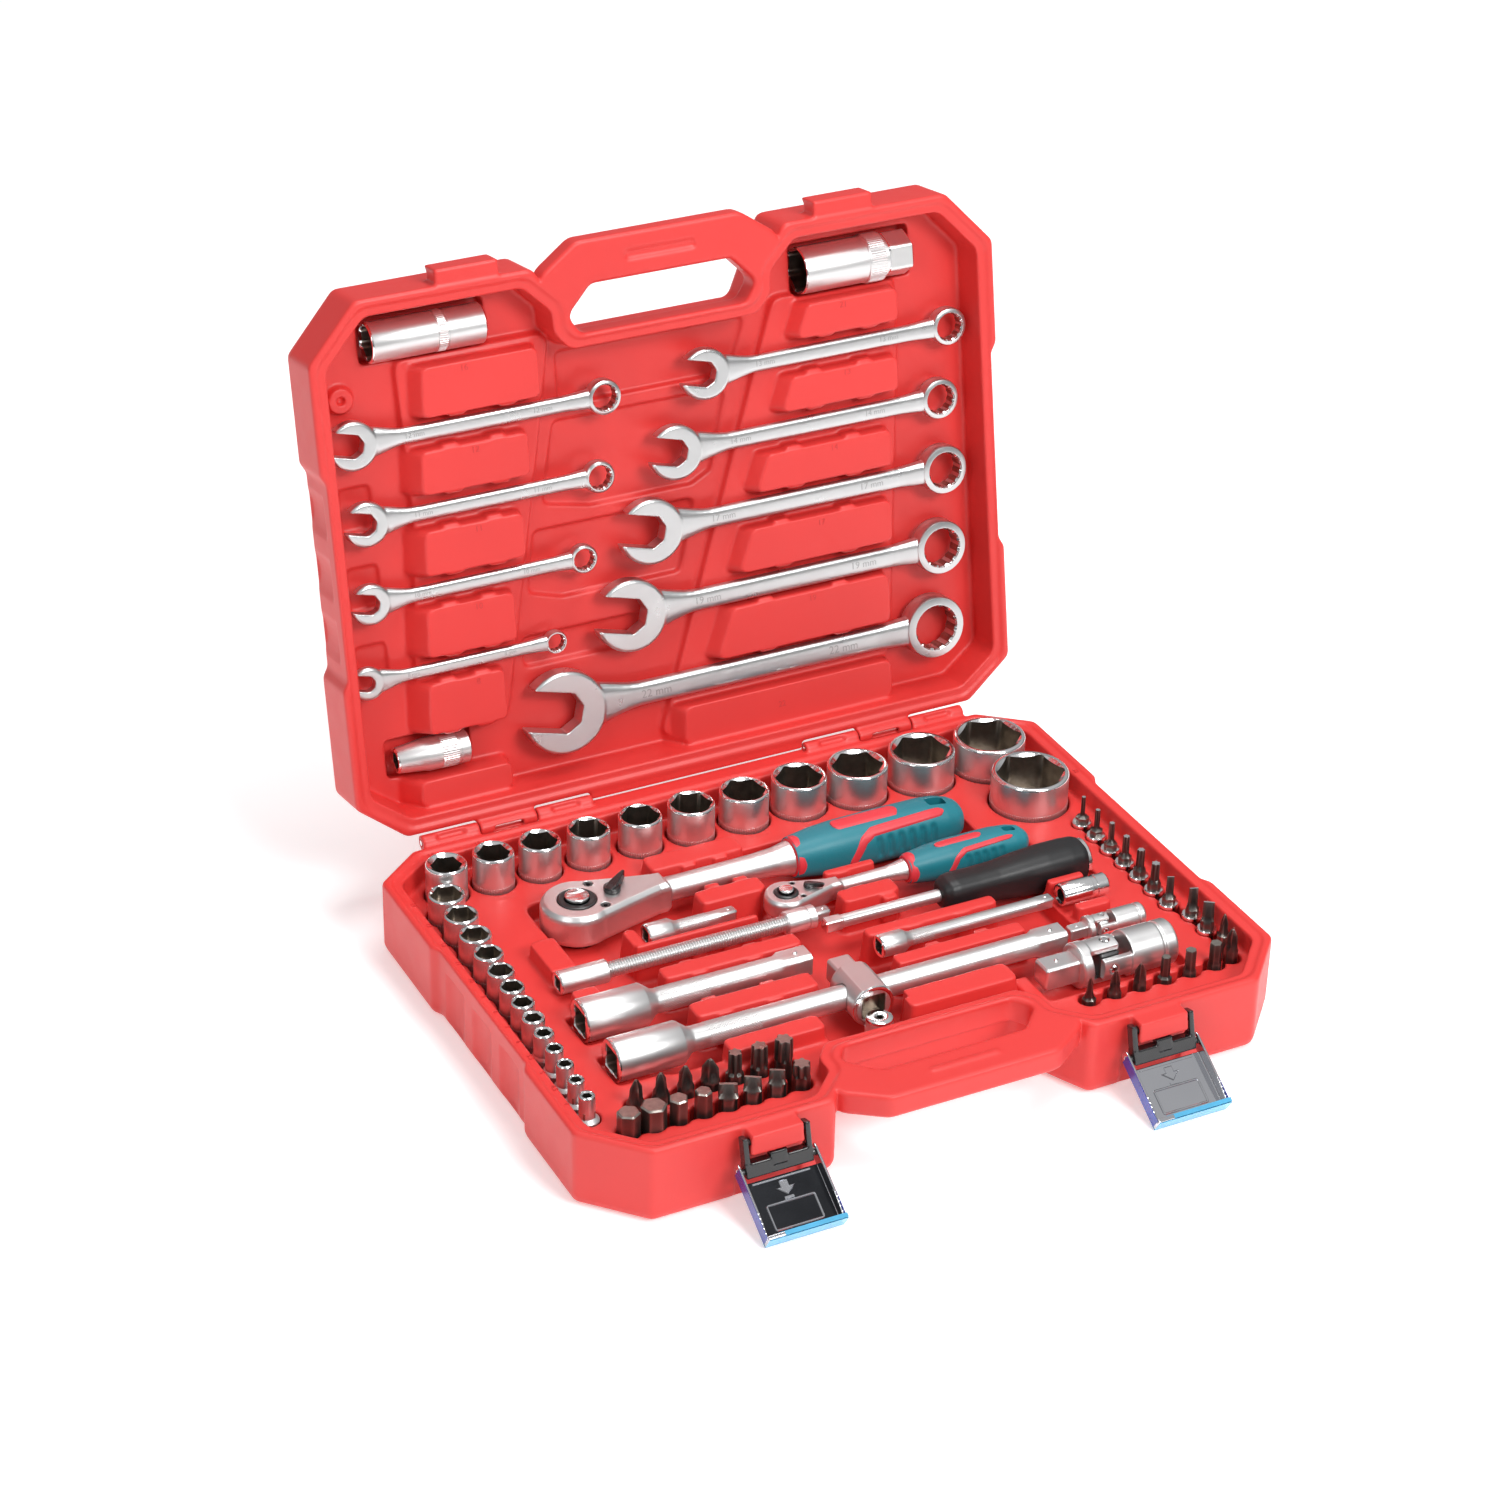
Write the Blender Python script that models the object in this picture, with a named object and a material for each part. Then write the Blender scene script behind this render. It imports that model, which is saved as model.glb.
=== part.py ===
"""A socket wrench set in its moulded carrying case, standing open on a bench.

X runs to the right along the front edge, Y from the handle to the hinges, Z up. The origin is on the
flat underside, at the middle of the case body. The lid stands open on its hinge stop. Everything
inside the lid is modelled in the lid's own frame: its origin is on the hinge axis, its Y points
away from the handle, and its Z points from the rim plane into the lid.
Dimensions are in millimetres, and become metres when a mesh is made.
"""

import math

import bmesh
import bpy
from mathutils import Matrix, Vector

MM = 0.001

# Case
BASE_HEIGHT = 42.0
LID_DEPTH = 36.0
HALF_WIDTH = 192.0
HALF_DEPTH = 141.7
SIDE_INSET = 3.0
WALL = 9.0
EDGE_CHAMFER = 3.5
RIM_GAP = 0.3
GAP = 0.3
HINGE_Y = 146.2
HINGE_LIP = 62.5  # half the length of the lips that close the gap between the knuckles
LID_OPEN_DEG = 100.5
HANDLE_FRONT = -151.7
HANDLE_THICKNESS = 14.0
FINGER_GAP = [(46, -104), (53, -114), (39, -128.5), (-39, -128.5), (-53, -114), (-46, -104)]
TRAY_Z = 29.5
PAN_Z = 19.0
BLOCK_Z = 38.0
LID_PAN = 22.0
PAD_TOP = 9.0

# Hinges: three knuckles on each side, the outer two on the base, round one steel pin
KNUCKLE_RADIUS = 4.0
KNUCKLE_STARTS = (63.0, 95.3, 127.6)
KNUCKLE_LENGTH = 31.9
PIN_RADIUS = 1.5
BORE_RADIUS = 1.9

# Latches: a link that hangs on the base's lug, and a plate that turns on the link
LATCH_X = 105.0
LUG_PIN = Vector((0.0, -147.0, 36.5))
LINK_LENGTH = 14.0
LINK_TILT_DEG = 15.0
PLATE_LENGTH = 35.0
PLATE_OPEN_DEG = 122.0
PLATE_HALF_WIDTH = 20.4
SHEET = 1.2
TAB_HEIGHT = 13.2

# Half-inch-drive sockets: hexagon size and outside diameter
SOCKETS = {14: 21.5, 15: 21.5, 16: 22.0, 17: 22.5, 18: 23.0, 19: 25.0, 20: 26.5, 22: 29.5, 24: 32.5,
           27: 36.0, 30: 39.0, 32: 41.5}
SOCKET_ROW_X = (-158.5, -132.5, -106.5, -79.0, -49.5, -20.0, 11.0, 43.5, 77.5, 116.0, 156.5, 157.5)
SOCKET_ROW_Y = 115.0
LARGE_SOCKET_Y = {24: 113.0, 27: 112.0, 30: 109.5, 32: 67.7}
SOCKET_TOP = 48.0
SOCKET_HEIGHT = 38.0
HALF_INCH = 12.7
QUARTER_INCH = 6.35

# Quarter-inch-drive sockets, in one row from the back
SMALL_SOCKETS = {14: 19.0, 13: 17.7, 12: 16.8, 11: 15.3, 10: 13.8, 9: 12.7, 8: 12.0, 7: 11.6, 6: 10.2,
                 5.5: 9.0, 5: 8.6, 4.5: 8.2, 4: 8.0}
SMALL_SOCKET_BASE = 11.8
SMALL_ROW_START = (-166.5, 96.0)
SMALL_ROW_END_X = -174.0
SMALL_ROW_GAP = 1.9
SMALL_BOTTOM, SMALL_TOP = 18.0, 43.0

# Screwdriver bits
BIT_BOTTOM, BIG_BIT_BOTTOM = 21.0, 14.0
BIT_HEX = 3.67
BIG_BIT_HEX = 4.62
BIT_PITCH = 14.25
BIT_COLUMN_X = 171.0
BIT_COLUMN_TOP_Y = 35.0
BIT_CORNER = [(176.0, -64.5), (176.0, -78.7), (177.3, -91.5), (173.5, -104.5)]
BIT_FRONT_ROW = (163.0, 90.0, -106.0, 6)
BIG_BACK_ROW = (-149.0, -71.0, -90.0, 7)
BIG_FRONT_ROW = (-161.0, -70.5, -107.5, 8)

# Combination wrenches: side of the lid, ring centre x, y, overall length
WRENCHES = {12: (-32.5, -66.0, 157.5), 11: (-38.5, -24.5, 147.0), 10: (-51.0, 17.5, 135.0),
            8: (-70.3, 59.0, 118.0), 13: (169.0, -67.5, 166.0), 14: (161.5, -29.0, 180.0),
            17: (162.0, 10.5, 203.0), 19: (157.5, 53.5, 217.0), 22: (151.5, 98.0, 258.0)}
WRENCH_W = 13.5
JAW_TILT_DEG = 15.0

# Tools that lie in the tray along X: x of the left end, y and z of the axis
RATCHET_PLACE = (-108.0, 66.0, 41.0)
SMALL_RATCHET_PLACE = (-8.0, 29.5, 39.0)
SPINNER_PLACE = (-2.0, -0.5, 35.0)
EXTENSION_250_PLACE = (-148.0, -60.0, 35.0)
EXTENSION_125_PLACE = (-148.0, -24.0, 35.0)
EXTENSION_100_PLACE = (13.0, -30.0, 36.0)
EXTENSION_50_PLACE = (-88.0, 28.0, 36.0)
FLEXIBLE_PLACE = (-145.0, 8.5, 36.0)
BIT_HOLDER_PLACE = (119.0, -28.0, 36.0)
JOINT_14_PLACE = (124.0, -60.0, 36.0)
JOINT_12_PLACE = (110.0, -85.0, 35.0)
T_HEAD_X = -13.0
ADAPTER_PLACE = (-15.0, -83.0, 19.5)

# Raised blocks of the tray: x range, y range
BLOCKS = [(-62, -6, 76, 93), (-52, -12, 37, 53), (-99, -28, 13, 22), (-100, -90, 20, 36),
          (-98, -19, -15, -1), (-98, -28, -51, -35), (-96, -42, -85, -69), (-146, -129, 10, 46),
          (-145, -128, -13, -1), (17, 49, 35, 43), (14, 49, 8, 23), (10, 88, -24, -13),
          (12, 88, -53, -40), (0, 63, -87, -69), (117, 141, -21, -13), (118, 141, -48, -38),
          (118, 142, -72, -67)]

FINISHES = {
    "red_plastic": ((0.66, 0.035, 0.035), 0.0, 0.42),
    "satin_chrome": ((0.62, 0.61, 0.60), 1.0, 0.30),
    "bright_steel": ((0.75, 0.75, 0.76), 1.0, 0.18),
    "bit_steel": ((0.09, 0.085, 0.08), 0.9, 0.38),
    "black_plastic": ((0.012, 0.012, 0.013), 0.0, 0.35),
    "teal_grip": ((0.01, 0.16, 0.21), 0.0, 0.5),
    "spinner_grip": ((0.02, 0.02, 0.021), 0.0, 0.45),
}

TO_X = Matrix.Rotation(math.radians(90), 4, "Y")
TO_Y = Matrix.Rotation(math.radians(-90), 4, "X")


# --- shapes, in millimetres ---------------------------------------------------------------------

def circle(radius, sides, centre=(0.0, 0.0), turn=0.0):
    step = math.tau / sides
    return [(centre[0] + radius * math.cos(turn + i * step),
             centre[1] + radius * math.sin(turn + i * step)) for i in range(sides)]


def rectangle(x0, x1, y0, y1):
    return [(x0, y0), (x1, y0), (x1, y1), (x0, y1)]


def octagon(x0, x1, y0, y1, corner):
    """A rectangle with its corners cut off."""
    return [(x0 + corner, y0), (x1 - corner, y0), (x1, y0 + corner), (x1, y1 - corner),
            (x1 - corner, y1), (x0 + corner, y1), (x0, y1 - corner), (x0, y0 + corner)]


def mirrored(half):
    """A closed outline from its right half, which runs from the front to the back."""
    return half + [(-x, y) for x, y in reversed(half)]


def inset(outline, distance):
    """A counter-clockwise outline moved inwards, with mitred corners."""
    points = [Vector(point) for point in outline]
    result = []
    for before, point, after in zip(points[-1:] + points[:-1], points, points[1:] + points[:1]):
        arriving, leaving = (point - before).normalized(), (after - point).normalized()
        first, second = Vector((-arriving.y, arriving.x)), Vector((-leaving.y, leaving.x))
        middle = (first + second).normalized()
        result.append(tuple(point + middle * (distance / middle.dot(first))))
    return result


def ribbon(points, half_width):
    """The outline of a band along a polyline, with one half width or one for each point."""
    widths = half_width if isinstance(half_width, list) else [half_width] * len(points)
    sides = []
    for sign in (1, -1):
        side = []
        for i, (point, width) in enumerate(zip(points, widths)):
            before = Vector(points[max(i - 1, 0)])
            after = Vector(points[min(i + 1, len(points) - 1)])
            arriving = (Vector(point) - before).normalized() if i else None
            leaving = (after - Vector(point)).normalized() if i < len(points) - 1 else arriving
            arriving = arriving or leaving
            first = Vector((-arriving.y, arriving.x))
            middle = (first + Vector((-leaving.y, leaving.x))).normalized()
            side.append(tuple(Vector(point) + middle * (sign * width / middle.dot(first))))
        sides.append(side)
    return sides[1] + sides[0][::-1]


def loft(rings):
    """A closed solid through rings of equal length, with flat ends."""
    bm = bmesh.new()
    rows = [[bm.verts.new(point) for point in ring] for ring in rings]
    bm.faces.new(rows[0])
    bm.faces.new(rows[-1])
    count = len(rows[0])
    for lower, upper in zip(rows, rows[1:]):
        for i in range(count):
            j = (i + 1) % count
            bm.faces.new((lower[i], lower[j], upper[j], upper[i]))
    bmesh.ops.recalc_face_normals(bm, faces=bm.faces)
    return bm


def level(outline, z):
    return [(x, y, z) for x, y in outline]


def prism(outline, z0, z1):
    return loft([level(outline, z0), level(outline, z1)])


def box(x0, x1, y0, y1, z0, z1):
    return prism(rectangle(x0, x1, y0, y1), z0, z1)


def turned(profile, sides=16, centre=(0.0, 0.0)):
    """A solid of revolution about Z from (z, radius) pairs."""
    return loft([level(circle(radius, sides, centre), z) for z, radius in profile])


def block(x0, x1, y0, y1, z0, z1, corner=4.0, draft=1.5):
    """A raised block: an octagonal frustum, its z1 end smaller by the draft."""
    outline = octagon(x0, x1, y0, y1, min(corner, (x1 - x0) / 3, (y1 - y0) / 3))
    return loft([level(outline, z0), level(inset(outline, draft), z1)])


def moved(bm, matrix):
    bmesh.ops.transform(bm, matrix=matrix, verts=bm.verts)
    return bm


def at(bm, x, y, z):
    return moved(bm, Matrix.Translation((x, y, z)))


def combined(parts):
    """Several separate shapes in one mesh."""
    whole = bmesh.new()
    for part in parts:
        mesh = bpy.data.meshes.new("part")
        part.to_mesh(mesh)
        part.free()
        whole.from_mesh(mesh)
        bpy.data.meshes.remove(mesh)
    return whole


# --- objects ------------------------------------------------------------------------------------

def solid(name, bm):
    """An object from a shape, in metres."""
    moved(bm, Matrix.Scale(MM, 4))
    mesh = bpy.data.meshes.new(name)
    bm.to_mesh(mesh)
    bm.free()
    obj = bpy.data.objects.new(name, mesh)
    bpy.context.scene.collection.objects.link(obj)
    return obj


def boolean(target, bm, operation):
    """Joins a shape to an object or cuts it out, and keeps only the result."""
    tool = solid("tool", bm)
    modifier = target.modifiers.new(operation, "BOOLEAN")
    modifier.operation = operation
    modifier.solver = "EXACT"
    modifier.object = tool
    graph = bpy.context.evaluated_depsgraph_get()
    mesh = bpy.data.meshes.new_from_object(target.evaluated_get(graph))
    target.modifiers.clear()
    old = target.data
    target.data = mesh
    bpy.data.meshes.remove(old)
    old = tool.data
    bpy.data.objects.remove(tool)
    bpy.data.meshes.remove(old)


def join(target, *shapes):
    for bm in shapes:
        boolean(target, bm, "UNION")


def cut(target, *shapes):
    for bm in shapes:
        boolean(target, bm, "DIFFERENCE")


def finish(obj, preset):
    """Gives an object its own material, and shades its round faces smooth."""
    color, metallic, roughness = FINISHES[preset]
    material = bpy.data.materials.new(obj.name + "_finish")
    material.use_nodes = True
    shader = material.node_tree.nodes["Principled BSDF"]
    shader.inputs["Base Color"].default_value = (*color, 1.0)
    shader.inputs["Metallic"].default_value = metallic
    shader.inputs["Roughness"].default_value = roughness
    obj.data.materials.clear()
    obj.data.materials.append(material)
    obj.data.name = obj.name
    obj.data.shade_smooth()
    obj.data.set_sharp_from_angle(angle=math.radians(35))


def place(obj, location, preset, parent=None, rotation=None):
    obj.location = Vector(location) * MM
    if rotation:
        obj.rotation_euler = rotation
    obj.parent = parent
    finish(obj, preset)


def frame_empty(name, location, x_turn_deg=0.0, parent=None):
    empty = bpy.data.objects.new(name, None)
    bpy.context.scene.collection.objects.link(empty)
    empty.location = Vector(location) * MM
    empty.rotation_euler.x = math.radians(x_turn_deg)
    empty.parent = parent
    return empty


# --- case ---------------------------------------------------------------------------------------

def body_outline():
    """The case body seen from above, notched at the front for the fingers."""
    right = [(50, -101), (64, -130), (70, -HALF_DEPTH), (165, -HALF_DEPTH), (HALF_WIDTH, -112.7),
             (HALF_WIDTH, -57), (HALF_WIDTH - SIDE_INSET, -52), (HALF_WIDTH - SIDE_INSET, 52),
             (HALF_WIDTH, 57), (HALF_WIDTH, 120.7), (166, HALF_DEPTH)]
    return mirrored(right)


def inner_outline():
    """The inner edge of the rim, which passes round the finger gap."""
    x, y = HALF_WIDTH - WALL, HALF_DEPTH - WALL
    return mirrored([(53, -97), (61, -107), (61, -118), (76, -y), (161, -y), (x, -109), (x, 117),
                     (162, y)])


def handle_outline():
    return mirrored([(46, HANDLE_FRONT), (67, -137), (67, -100)])


def half_case(rim, direction, depth):
    """One half of the case, with the depth running from the rim plane in the direction (1 or -1)."""
    outline = body_outline()
    far = rim + direction * depth
    near_far = far - direction * (EDGE_CHAMFER + 0.5)
    shell = solid("half", loft([level(outline, rim), level(outline, near_far),
                                level(inset(outline, EDGE_CHAMFER), far)]))
    handle_end = rim + direction * HANDLE_THICKNESS
    handle = [level(handle_outline(), rim), level(handle_outline(), handle_end - direction * 3),
              level(inset(handle_outline(), 3), handle_end)]
    join(shell, loft(handle))
    cut(shell, prism(FINGER_GAP, rim - direction, rim + direction * (HANDLE_THICKNESS + 1)))
    return shell


def knuckle(start, z_low, z_high, y_shift):
    """A hinge knuckle about the axis y = 0, z = 0, with the web that joins it to the wall."""
    web = box(start, start + KNUCKLE_LENGTH, -y_shift - 1.0, 0.0, z_low, z_high)
    barrel = moved(turned([(0, KNUCKLE_RADIUS), (KNUCKLE_LENGTH, KNUCKLE_RADIUS)], 12), TO_X)
    return web, at(barrel, start, 0, 0)


def both_sides(start):
    """The start of a knuckle on the right, and of its mirror image on the left."""
    return start, -start - KNUCKLE_LENGTH


def add_knuckles(shell, starts, z_low, z_high, origin):
    for start in starts:
        for x in both_sides(start):
            for shape in knuckle(x, z_low, z_high, HINGE_Y - HALF_DEPTH):
                join(shell, at(shape, *origin))
            bore = moved(turned([(-1, BORE_RADIUS), (KNUCKLE_LENGTH + 1, BORE_RADIUS)], 12), TO_X)
            cut(shell, at(bore, origin[0] + x, origin[1], origin[2]))


def channel(x0, x1, y, half_width, floor):
    """The room above one tool that lies along X in the tray."""
    return box(x0, x1, y - half_width, y + half_width, floor, BASE_HEIGHT + 5)


def tray_channels():
    x, y, top = RATCHET_PLACE
    yield turned([(top - 20, 20.5), (top + 5, 20.5)], 16, (x, y))
    yield turned([(5.5, 11.5), (top, 11.5)], 12, (x, y))
    yield channel(x + 10, x + 124, y, 9.5, top - 20)
    yield channel(x + 119, x + 224, y, 15.0, PAN_Z - 0.2)
    x, y, top = SMALL_RATCHET_PLACE
    yield turned([(PAN_Z, 13.0), (top + 5, 13.0)], 16, (x, y))
    yield channel(x + 5, x + 72, y, 6.5, 24)
    yield channel(x + 68, x + 144, y, 11.5, 21.5)
    x, y, z = SPINNER_PLACE
    yield channel(x - 2, x + 66, y, 5.0, 28)
    yield channel(x + 62, x + 155, y, 13.5, z - 13.0)
    for (x, y, z), length, end_length, end_radius, shaft_radius in (
            (EXTENSION_250_PLACE, 250, 38, 11.0, 6.5), (EXTENSION_125_PLACE, 125, 36, 11.0, 6.5),
            (EXTENSION_100_PLACE, 100, 16, 6.0, 4.0), (EXTENSION_50_PLACE, 50, 16, 6.0, 4.0),
            (FLEXIBLE_PLACE, 150, 28, 6.0, 6.0)):
        yield channel(x - 2, x + end_length + 3, y, end_radius + 1.5, z - end_radius - 0.6)
        yield channel(x + end_length, x + length + 2, y, shaft_radius + 3.0, z - end_radius)
    x, y, z = BIT_HOLDER_PLACE
    yield channel(x - 3, x + 30, y, 7.0, z - 7)
    x, y, z = JOINT_14_PLACE
    yield channel(x - 20, x + 28, y, 7.8, z - 7)
    x, y, z = JOINT_12_PLACE
    yield channel(x - 38, x + 42, y, 14.0, z - 12.5)
    x, y, z = EXTENSION_250_PLACE
    yield box(T_HEAD_X - 17.5, T_HEAD_X + 17.5, y - 17, y + 27, PAN_Z, BASE_HEIGHT + 5)
    yield turned([(PAN_Z, 8.5), (BASE_HEIGHT + 5, 8.5)], 12, ADAPTER_PLACE[:2])


def socket_pockets():
    for x, y, _, diameter, bottom in socket_places():
        radius = diameter / 2 + 1.4
        yield turned([(bottom - 0.6, radius), (BASE_HEIGHT + 5, radius)], 12, (x, y))


def rack_trenches():
    """The trenches that the small sockets and the bits stand in, with their strips."""
    places = [(x, y) for x, y, *_ in small_places()]
    route = [(places[0][0], places[0][1] + 10.5), places[0], places[6], places[-1],
             (places[-1][0], places[-1][1] - 7)]
    yield prism(ribbon(route, [10.0, 10.4, 7.0, 7.0, 7.0]), SMALL_BOTTOM - 0.6, BASE_HEIGHT + 5)
    route = bit_points()
    ends = [(route[0][0], route[0][1] + 5), *route[1:-1], (route[-1][0] - 5, route[-1][1])]
    yield prism(ribbon(ends, 5.0), BIT_BOTTOM - 0.6, BASE_HEIGHT + 5)
    back, front = big_bit_rows()
    for row in (back, front):
        (x0, y), (x1, _) = row[0], row[-1]
        yield box(x0 - 6, x1 + 6, y - 5.8, y + 5.8, BIG_BIT_BOTTOM - 0.6, BASE_HEIGHT + 5)
    x, y = back[-1]
    yield box(x - 4, x + 6, front[-1][1], y, BIG_BIT_BOTTOM - 0.6, BASE_HEIGHT + 5)


def make_base():
    base = half_case(BASE_HEIGHT, -1, BASE_HEIGHT)
    cut(base, prism(inner_outline(), TRAY_Z, BASE_HEIGHT + 1),
        box(-128, 117, -75, 88, PAN_Z, BASE_HEIGHT),
        box(-42, 64, -92, -70, PAN_Z, BASE_HEIGHT))
    join(base, *(block(*sides, PAN_Z - 1, BLOCK_Z) for sides in BLOCKS))
    cut(base, *tray_channels())
    cut(base, *socket_pockets())
    cut(base, *rack_trenches())
    join(base, box(-HINGE_LIP, HINGE_LIP, HALF_DEPTH - 1, HINGE_Y - 0.5, BASE_HEIGHT - 3.6, BASE_HEIGHT - 0.3))
    add_knuckles(base, KNUCKLE_STARTS[::2], -6.0, -0.2, (0, HINGE_Y, BASE_HEIGHT))
    for side in (-1, 1):
        lug_x = side * LATCH_X
        join(base, at(block(-14, 14, -151.2, -140, 31, 41.4, 1.5, 0.8), lug_x, 0, 0))
        bore = moved(turned([(-16, BORE_RADIUS), (16, BORE_RADIUS)], 12), TO_X)
        cut(base, at(bore, lug_x, LUG_PIN.y, LUG_PIN.z))
    base.name = "case_base"
    finish(base, "red_plastic")


def make_hinge_pins():
    length = KNUCKLE_STARTS[-1] + KNUCKLE_LENGTH - KNUCKLE_STARTS[0]
    for name, start in (("hinge_pin_left", -KNUCKLE_STARTS[0] - length),
                        ("hinge_pin_right", KNUCKLE_STARTS[0])):
        pin = solid(name, moved(turned([(0, PIN_RADIUS), (length, PIN_RADIUS)], 12), TO_X))
        place(pin, (start, HINGE_Y, BASE_HEIGHT), "bright_steel")


def lid_pads():
    """The raised pads on both sides of each wrench, as (x range, y range)."""
    yield -133, -67, -100, -73
    yield -154, -101, 117, 133
    yield 77, 139, -95, -76
    yield -3, 124, 110, 133
    for sizes, last in (((12, 11, 10, 8), 94), ((13, 14, 17, 19, 22), None)):
        for size, following in zip(sizes, sizes[1:] + (None,)):
            if following is None and last is None:
                continue
            low = WRENCHES[size][1] + pad_clearance(size)
            high = WRENCHES[following][1] - pad_clearance(following) if following else last
            if size in (12, 11, 10, 8):
                slope = (low + 59) / 125
                yield -137 - 9 * slope, -76 - 26 * slope, low, high
            else:
                slope = (low + 59) / 124
                yield 65 - 48 * slope, 137 - 13 * slope, low, high


def pad_clearance(size):
    return shaft_width(size) / 2 + 2.6


def make_lid(frame):
    """The lid in its own frame. Its rim stays clear of the base's when the lid is shut."""
    lid = half_case(RIM_GAP, 1, LID_DEPTH - RIM_GAP)
    cut(lid, prism(inner_outline(), -1, LID_PAN))
    join(lid, box(-132, -92, -82, 68, 16.4, LID_PAN + 1), box(45, 122, -82, 108, 17.6, LID_PAN + 1))
    join(lid, *(block(*sides, LID_PAN + 1, PAD_TOP) for sides in lid_pads()))
    cut(lid, box(-158, -90, -127, -103, -1, 30.2), box(82, 153, -124, -96.5, -1, 33.4),
        box(-166, -119, 95.5, 116.5, -1, 27.8))
    for side in (-1, 1):
        x = side * LATCH_X
        join(lid, box(x - 17, x + 17, -150, -140, RIM_GAP + 0.4, TAB_HEIGHT),
             box(x - 17, x + 17, -150, -148.2, TAB_HEIGHT - 1, TAB_HEIGHT + 2))
    join(lid, box(-HINGE_LIP, HINGE_LIP, HALF_DEPTH - 1, HINGE_Y - 0.5, RIM_GAP + 0.4, 3.4))
    for vertex in lid.data.vertices:
        vertex.co.y -= HINGE_Y * MM
    add_knuckles(lid, KNUCKLE_STARTS[1:2], RIM_GAP + 0.2, 3.0, (0, 0, 0))
    lid.name = "case_lid"
    lid.parent = frame
    finish(lid, "red_plastic")


def make_link(frame, side_name):
    """The black link: two arms round the lug with a pin between them, and pins for the plate."""
    link = solid("latch_link_" + side_name,
                 box(-17.5, 17.5, -3.2, 3.2, -LINK_LENGTH - 3, -LINK_LENGTH + 4.5))
    for side in (-1, 1):
        inner, outer = sorted((side * 14.6, side * 17.5))
        join(link, box(inner, outer, -3.1, 3.1, -LINK_LENGTH, 3.1))
    join(link, moved(turned([(-16, PIN_RADIUS), (16, PIN_RADIUS)], 12), TO_X),
         at(moved(turned([(-20.2, PIN_RADIUS), (20.2, PIN_RADIUS)], 12), TO_X), 0, 0, -LINK_LENGTH))
    place(link, (0, 0, 0), "black_plastic", frame)


def make_plate(frame, side_name):
    """The pressed plate, shut along +Z: its lip hooks over the lid's tab."""
    half, inner = PLATE_HALF_WIDTH, PLATE_HALF_WIDTH - SHEET
    plate = solid("latch_plate_" + side_name, box(-half, half, -4, -4 + SHEET, 5, PLATE_LENGTH))
    for x0, x1 in ((-half, -inner), (inner, half)):
        join(plate, box(x0, x1, -4, 3, -3.5, PLATE_LENGTH))
    join(plate, box(-half, half, -4, 4.5, PLATE_LENGTH - 0.01, PLATE_LENGTH + SHEET),
         box(-half, half, 4.5 - SHEET, 4.5, PLATE_LENGTH - 1.5, PLATE_LENGTH + 0.5))
    cut(plate, moved(turned([(-25, BORE_RADIUS), (25, BORE_RADIUS)], 12), TO_X))
    place(plate, (0, 0, 0), "bright_steel", frame)


def make_latches():
    for side, side_name in ((-1, "left"), (1, "right")):
        link_frame = frame_empty("latch_link_axis_" + side_name,
                                 LUG_PIN + Vector((side * LATCH_X, 0, 0)), -LINK_TILT_DEG)
        make_link(link_frame, side_name)
        plate_frame = frame_empty("latch_plate_axis_" + side_name, (0, 0, -LINK_LENGTH),
                                  LINK_TILT_DEG + PLATE_OPEN_DEG, link_frame)
        make_plate(plate_frame, side_name)


# --- loose tools --------------------------------------------------------------------------------

def hexagon(across_flats, turn=0.0):
    return circle(across_flats / math.sqrt(3), 6, turn=turn)


def square(side):
    return rectangle(-side / 2, side / 2, -side / 2, side / 2)


def socket_places():
    """x, y, size, outside diameter and bottom z of each half-inch-drive socket."""
    for x, (size, diameter) in zip(SOCKET_ROW_X, SOCKETS.items()):
        y = LARGE_SOCKET_Y.get(size, SOCKET_ROW_Y)
        yield x, y, size, diameter, SOCKET_TOP - SOCKET_HEIGHT


def make_sockets():
    for x, y, size, diameter, bottom in socket_places():
        radius, height = diameter / 2, SOCKET_HEIGHT
        socket = solid(f"socket_{size}", turned([(0, radius - 0.8), (1, radius), (height - 0.8, radius),
                                                 (height, radius - 0.6)]))
        cut(socket, prism(hexagon(size + 0.3, 0.3), 18, height + 1),
            prism(square(HALF_INCH), -1, 18.5))
        place(socket, (x, y, bottom), "satin_chrome")


def small_places():
    """x, y, size and outside diameter of each quarter-inch-drive socket, from the back."""
    start_x, y = SMALL_ROW_START
    last = None
    for i, (size, diameter) in enumerate(SMALL_SOCKETS.items()):
        wide = max(diameter, SMALL_SOCKET_BASE)
        if last:
            y -= (last + wide) / 2 + SMALL_ROW_GAP
        last = wide
        x = start_x + (SMALL_ROW_END_X - start_x) * i / (len(SMALL_SOCKETS) - 1)
        yield x, y, size, diameter


def make_small_row():
    """The row of small sockets, joined at the bottom by a strip that the tray hides."""
    places = list(small_places())
    low = SMALL_BOTTOM
    sockets, recesses = [], []
    for x, y, size, diameter in places:
        wide = max(diameter, SMALL_SOCKET_BASE) / 2
        sockets.append(turned([(low, wide), (low + 12, wide), (low + 14, diameter / 2),
                               (SMALL_TOP, diameter / 2)], 12, (x, y)))
        recesses.append(at(prism(hexagon(size), SMALL_TOP - 9, SMALL_TOP + 1), x, y, 0))
    row = solid("small_socket_row", combined(sockets))
    join(row, prism(ribbon([place[:2] for place in places[::12]], 2.5), low, low + 4))
    cut(row, combined(recesses))
    finish(row, "satin_chrome")


def row_points(x0, x1, y, count):
    return [(x0 + (x1 - x0) * i / (count - 1), y) for i in range(count)]


def bit_points():
    column = [(BIT_COLUMN_X, BIT_COLUMN_TOP_Y - BIT_PITCH * i) for i in range(7)]
    return column + BIT_CORNER + row_points(*BIT_FRONT_ROW)


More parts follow.
